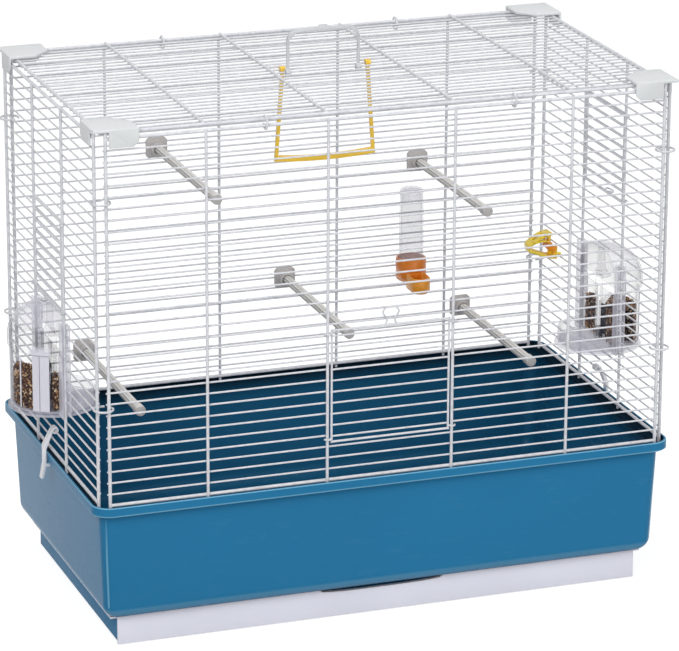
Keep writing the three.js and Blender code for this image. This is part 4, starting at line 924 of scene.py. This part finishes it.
def seedMesh(wall, start, stop, seed):
    look = seedLook
    inner, gap = feeder["drumRadius"] - feeder["wall"] - look["inset"], look["clear"] + look["inset"]
    half, middle = math.pi * (stop - start), math.pi * (stop + start)
    apex = max(gap / math.sin(half), (feeder["column"] + look["inset"] + 0.3) / math.cos(half))
    off = math.asin(gap / inner)
    steps = max(4, int(14 * half))
    outline = [(apex * math.cos(middle), apex * math.sin(middle))]
    outline += arc((0, 0), inner, math.degrees(middle - half + off), math.degrees(middle + half - off), steps)
    # the core takes the darkest seed tone: painted shade between the grains
    core = prismMesh(wall, outline, look["low"], look["high"][wall])
    return seedTree.run("seeds", {
        "Spacing": look["spacing"] * mm, "Grain": look["grain"] * mm, "Shape": look["shape"], "Seed": seed,
        "Material": finishes["seed"]}, core)


for side, near, far in (("left", "front", "back"), ("right", "back", "front")):
    meshPiece(f"{side}FeederFrame", feederFrameMesh(side), "clear", f"{side}_feeder_frame")
    meshPiece(f"{side}FeederDrum", feederDrumMesh(side), "clear", f"{side}_feeder_drum")
    turns = (0, *feeder["turns"], 0.5)
    for seed, place in enumerate((near, "middle", far), 1):
        heap = seedMesh(side, turns[2 * seed - 2], turns[2 * seed - 1], seed)
        meshPiece(f"{side}Seed_{place}", heap, "seed", f"{side}_seed_{place}", 80)


print("scene: drinker")
drinker = {
    "axis": (-0.493 * frontSpan, -19.0), "tubeFoot": 251.9, "tubeTop": 337.9, "radius": 13.0,
    "topRadius": 12.0, "wall": 1.6, "collarFoot": 239.9, "collarTop": 264.4, "collar": 15.7, "bore": 13.3,
    "throat": 10.6, "floor": 2.0, "troughHalf": 10.0, "troughReach": 37.0, "troughTop": 250.4,
    "troughFoot": 233.4, "noseSteps": 16, "nose": 0.9, "lugRow": 9, "lugSpread": 7.0, "lugBack": -6.2,
    "milk": {"dome": 0.25, "tube": 0.11, "trough": 0.1},
}


def drinkerTubeMesh():
    d = drinker
    foot, top, r, t = d["tubeFoot"], d["tubeTop"], d["topRadius"], d["wall"]
    outer = [(d["radius"] - t, foot), (d["radius"] - 0.3, foot), (d["radius"], foot + 0.5), (r + 0.2, top - 13),
             (r - 0.5, top - 12.2), (r - 0.5, top - 11.4), (r + 0.1, top - 10.6), (r, top - 2.4),
             (r - 0.7, top - 0.7), (r - 2.2, top), (r - 4.0, top), (r - 4.6, top - 1.2), (0, top - 1.4)]
    inner = [(0, top - 1.4 - t), (r - 4.9, top - 1.2 - t), (r - 3.4, top - t), (r - t - 0.4, top - 3),
             (r - t, top - 10.6), (r - t - 0.6, top - 11.6), (r - t + 0.1, top - 13.4)]
    tube = turnedMesh("back", outer + inner, d["axis"], 64)
    return marked(tube, "milk", lambda p: d["milk"]["dome" if p.z > (top - 12) * mm else "tube"])


def drinkerBaseMesh():
    d = drinker
    foot, top, seat = d["collarFoot"], d["collarTop"], d["tubeFoot"] - 0.3
    c, b, t, (middle, stand) = d["collar"], d["bore"], d["throat"], d["axis"]
    collar = turnedMesh("back", [
        (0, foot), (b - 1.2, foot), (b, foot + 0.4), (c - 0.5, foot + 1.9), (c, foot + 2.6), (c, foot + 10),
        (c - 0.5, foot + 10.5), (c - 0.5, foot + 11.5), (c, foot + 12), (c, top - 1.2), (c - 0.5, top - 0.3),
        (c - 1.2, top), (b + 0.4, top), (b, top - 0.5), (b, seat), (t, seat), (t, foot + 2.6),
        (t - 0.7, foot + d["floor"]), (0, foot + d["floor"])], (middle, stand), 64)
    lift = d["troughTop"] - d["troughFoot"]
    profile = [(4.0, 0), (1.8, 0.5), (0.6, 1.7), (0, 3.6), (0, lift - 0.7), (0.5, lift), (1.5, lift),
               (2.0, lift - 0.7), (2.0, 4.6), (2.6, 3.2), (4.4, 2.2)]
    bm = bmesh.new()
    loops = []
    for inset, rise in profile:
        half, reach, back = d["troughHalf"] - inset, d["troughReach"] - inset, 12.5 + inset
        nose = [(u, reach - half * d["nose"] + m * d["nose"])
                for u, m in arc((0, 0), half, 180, 0, d["noseSteps"])]
        loops.append([bm.verts.new(placed("back", middle + u, stand - m, d["troughFoot"] + rise))
                      for u, m in [(-half, back), (-half, 18.0), *nose, (half, 18.0), (half, back)]])
    skinned(bm, loops)
    bm.faces.new(list(reversed(loops[0])))
    bm.faces.new(loops[-1])
    parts = [(collar, 0.0), (meshOf("trough", bm, True), d["milk"]["trough"])]
    parts += [(wireHook("back", middle + side * d["lugSpread"], d["lugRow"], d["lugBack"]), 0.0)
              for side in (-1, 1)]
    return clearMesh("drinkerBase", parts)


meshPiece("drinkerTube", drinkerTubeMesh(), "clear", "drinker_tube")
meshPiece("drinkerBase", drinkerBaseMesh(), "orange", "drinker_base")


print("scene: nibble clip")
nibble = {
    "y": 113.0, "row": 10.8, "back": 1.5, "reach": 31.0, "width": 16.0, "thick": 3.0, "tipGap": 0.3,
    "open": {1: 16.0, -1: 12.6}, "bow": {1: 0.8, -1: 1.3}, "leafRise": 5.5, "leafThick": 2.0, "leafWidth": 3.8,
    "setback": 5.5, "pin": 8.5, "pinRadius": 1.6, "barrel": 3.6, "barrelInset": 4.3, "earRadius": 3.4,
    "ear": 3.0, "prong": 4.9, "steps": 14, "slot": (0.3, 0.85), "round": 0.55, "lugRow": 10, "lugSpread": 6,
    "lugBack": -3.0,
}
nibbleZ = rowZ(nibble["row"])
nibbleLow, nibbleHigh = nibble["y"] - nibble["width"] / 2, nibble["y"] + nibble["width"] / 2
nibblePin = (-nibble["pin"], nibbleZ)


def nibbleBlock(outline, low, high):
    return prismMesh("right", outline, low, high, "u", nibble["round"], 2, 40)


def jawLine(sign, setback, thick):
    c = nibble
    rise = c["open"][sign] - c["thick"] + thick
    tip = c["tipGap"] + thick
    line = []
    for i in range(c["steps"] + 1):
        share = i / c["steps"]
        fall = math.cos(math.pi / 2 * share) ** c["bow"][sign] if i < c["steps"] else 0
        line.append((-(c["back"] + setback + (c["reach"] - setback) * share),
                     nibbleZ + sign * (tip + (rise - tip) * fall)))
    return line


def jawParts(sign, setback):
    c = nibble
    inner, outer = jawLine(sign, setback, 0), jawLine(sign, setback, c["thick"])
    first, last = (round(c["steps"] * share) for share in c["slot"])
    spans = [(0, first + 1, nibbleLow, nibbleHigh), (last - 1, c["steps"], nibbleLow, nibbleHigh),
             (first, last, nibbleLow, nibbleLow + c["prong"]),
             (first, last, nibbleHigh - c["prong"], nibbleHigh)]
    return [nibbleBlock(inner[start:stop + 1] + list(reversed(outer[start:stop + 1])), low, high)
            for start, stop, low, high in spans]


def nibbleLowerMesh():
    c, z, back = nibble, nibbleZ, -nibble["back"]
    low = z - c["open"][-1] + 0.6
    ear = [(back, low), (back - 5.5, low), (back - 4.6, z - 5.0)]
    ear += arc(nibblePin, c["earRadius"], 280, 30, 11) + [(back, z + 1.0)]
    parts = jawParts(-1, 0)
    parts += [nibbleBlock(ear, start, start + c["ear"]) for start in (nibbleLow, nibbleHigh - c["ear"])]
    pin = arc(nibblePin, c["pinRadius"], 0, 340, 17)
    parts.append(prismMesh("right", pin, nibbleLow + 0.5, nibbleHigh - 0.5, "u"))
    parts += [wireHook("right", c["y"] + side * c["lugSpread"], c["lugRow"], c["lugBack"]) for side in (-1, 1)]
    return joined("nibbleLower", parts)


def nibbleUpperMesh():
    c, z, pin, tip = nibble, nibbleZ, -nibble["pin"], 1.5 - nibble["back"] - nibble["reach"]
    high, inset, hinge = z + c["open"][1], c["barrelInset"], pin - 1
    web = [(pin - 1.6, z + 2.4), (pin - 1.2, z + 7), (pin - 3.0, high - 2.6), (pin + 1.6, high - 2.2),
           (pin + 1.0, z + 7), (pin + 1.6, z + 2.4)]
    leaf = [(tip + (hinge - tip) * i / 10, z + 1.2 + c["leafRise"] * math.sin(math.pi * (0.12 + 0.62 * i / 10)))
            for i in range(11)]
    leaf += [(n, level + c["leafThick"]) for n, level in reversed(leaf)]
    bridge = [(hinge - 2, z + 4.6), (hinge + 2.6, z + 1.8), (hinge + 2.6, z + 3.4), (hinge - 2, z + 6.6)]
    parts = jawParts(1, c["setback"])
    parts += [nibbleBlock(leaf, start, start + c["leafWidth"])
              for start in (nibbleLow, nibbleHigh - c["leafWidth"])]
    parts.append(prismMesh("right", bridge, nibbleLow, nibbleHigh, "u", 0.4))
    parts += [nibbleBlock(outline, nibbleLow + inset, nibbleHigh - inset)
              for outline in (arc(nibblePin, c["barrel"], 0, 345, 23), web)]
    return joined("nibbleUpper", parts)


meshPiece("nibbleLower", nibbleLowerMesh(), "lemon", "nibble_clip_lower")
meshPiece("nibbleUpper", nibbleUpperMesh(), "lemon", "nibble_clip_upper")


print("scene: stage")
studio = {
    "floorSize": 9.0, "floorColour": (0.5, 0.5, 0.5, 1), "white": (1, 1, 1, 1), "floorGlow": 0.78,
    "ambient": 0.3,
    # name, place, size and power
    "lamps": [
        ("keyLamp", (-2.1, -2.4, 2.4), 1.8, 66.0), ("fillLamp", (2.4, -2.0, 1.5), 2.2, 18.0),
        ("topLamp", (0.2, 0.2, 2.7), 2.0, 20.0), ("lowLamp", (0.5, -3.4, 0.7), 2.4, 27.0)],
    "aim": (0.0, 0.0, 0.28),
}


half = studio["floorSize"] / 2
mesh = bpy.data.meshes.new("floor")
mesh.from_pydata([(-half, -half, 0), (half, -half, 0), (half, half, 0), (-half, half, 0)], [], [(0, 1, 2, 3)])
paint = Paint("paleFloor")
matt = paint.node("ShaderNodeBsdfDiffuse", {}, {"Color": studio["floorColour"]})
glow = paint.node("ShaderNodeEmission", {}, {
    "Color": studio["white"], "Strength": paint.looked() * studio["floorGlow"]})
mesh.materials.append(paint.shown(paint.node("ShaderNodeAddShader", {}, {0: matt, 1: glow})))
floor = linked("floor", mesh)

paint = Paint("studio", bpy.data.worlds)
light = paint.node("ShaderNodeBackground", {}, {
    "Color": studio["white"], "Strength": paint.looked() * (1 - studio["ambient"]) + studio["ambient"]})
bpy.context.scene.world = paint.shown(light, "ShaderNodeOutputWorld")

for name, place, size, power in studio["lamps"]:
    lamp = bpy.data.lights.new(name, "AREA")
    lamp.size = size
    lamp.energy = power
    obj = linked(name, lamp)
    obj.location = place
    obj.rotation_euler = (Vector(studio["aim"]) - Vector(place)).to_track_quat("-Z", "Y").to_euler()

# angles in radians, the lens in millimetres for a picture 679 pixels wide
shot = {"place": (-1.258379, -3.500921, 1.469062), "yaw": 0.347, "pitch": 0.317, "roll": 0.005,
        "sensor": 36, "lens": 3952.441 * 36 / 679}
lens = bpy.data.cameras.new("camera")
lens.sensor_width = shot["sensor"]
lens.sensor_fit = "HORIZONTAL"
lens.lens = shot["lens"]
lens.clip_end = 50
yaw, pitchDown, roll = shot["yaw"], shot["pitch"], shot["roll"]
ahead = Vector((math.sin(yaw) * math.cos(pitchDown), math.cos(yaw) * math.cos(pitchDown),
                -math.sin(pitchDown)))
right = Vector((math.cos(yaw), -math.sin(yaw), 0))
up = right.cross(ahead)
level = right * math.cos(roll) + up * math.sin(roll)
tall = up * math.cos(roll) - right * math.sin(roll)
camera = linked("camera", lens)
camera.matrix_world = Matrix.Translation(shot["place"]) @ Matrix((level, tall, -ahead)).transposed().to_4x4()
bpy.context.scene.camera = camera
bpy.context.scene.view_settings.view_transform = "Standard"

print("scene: done")
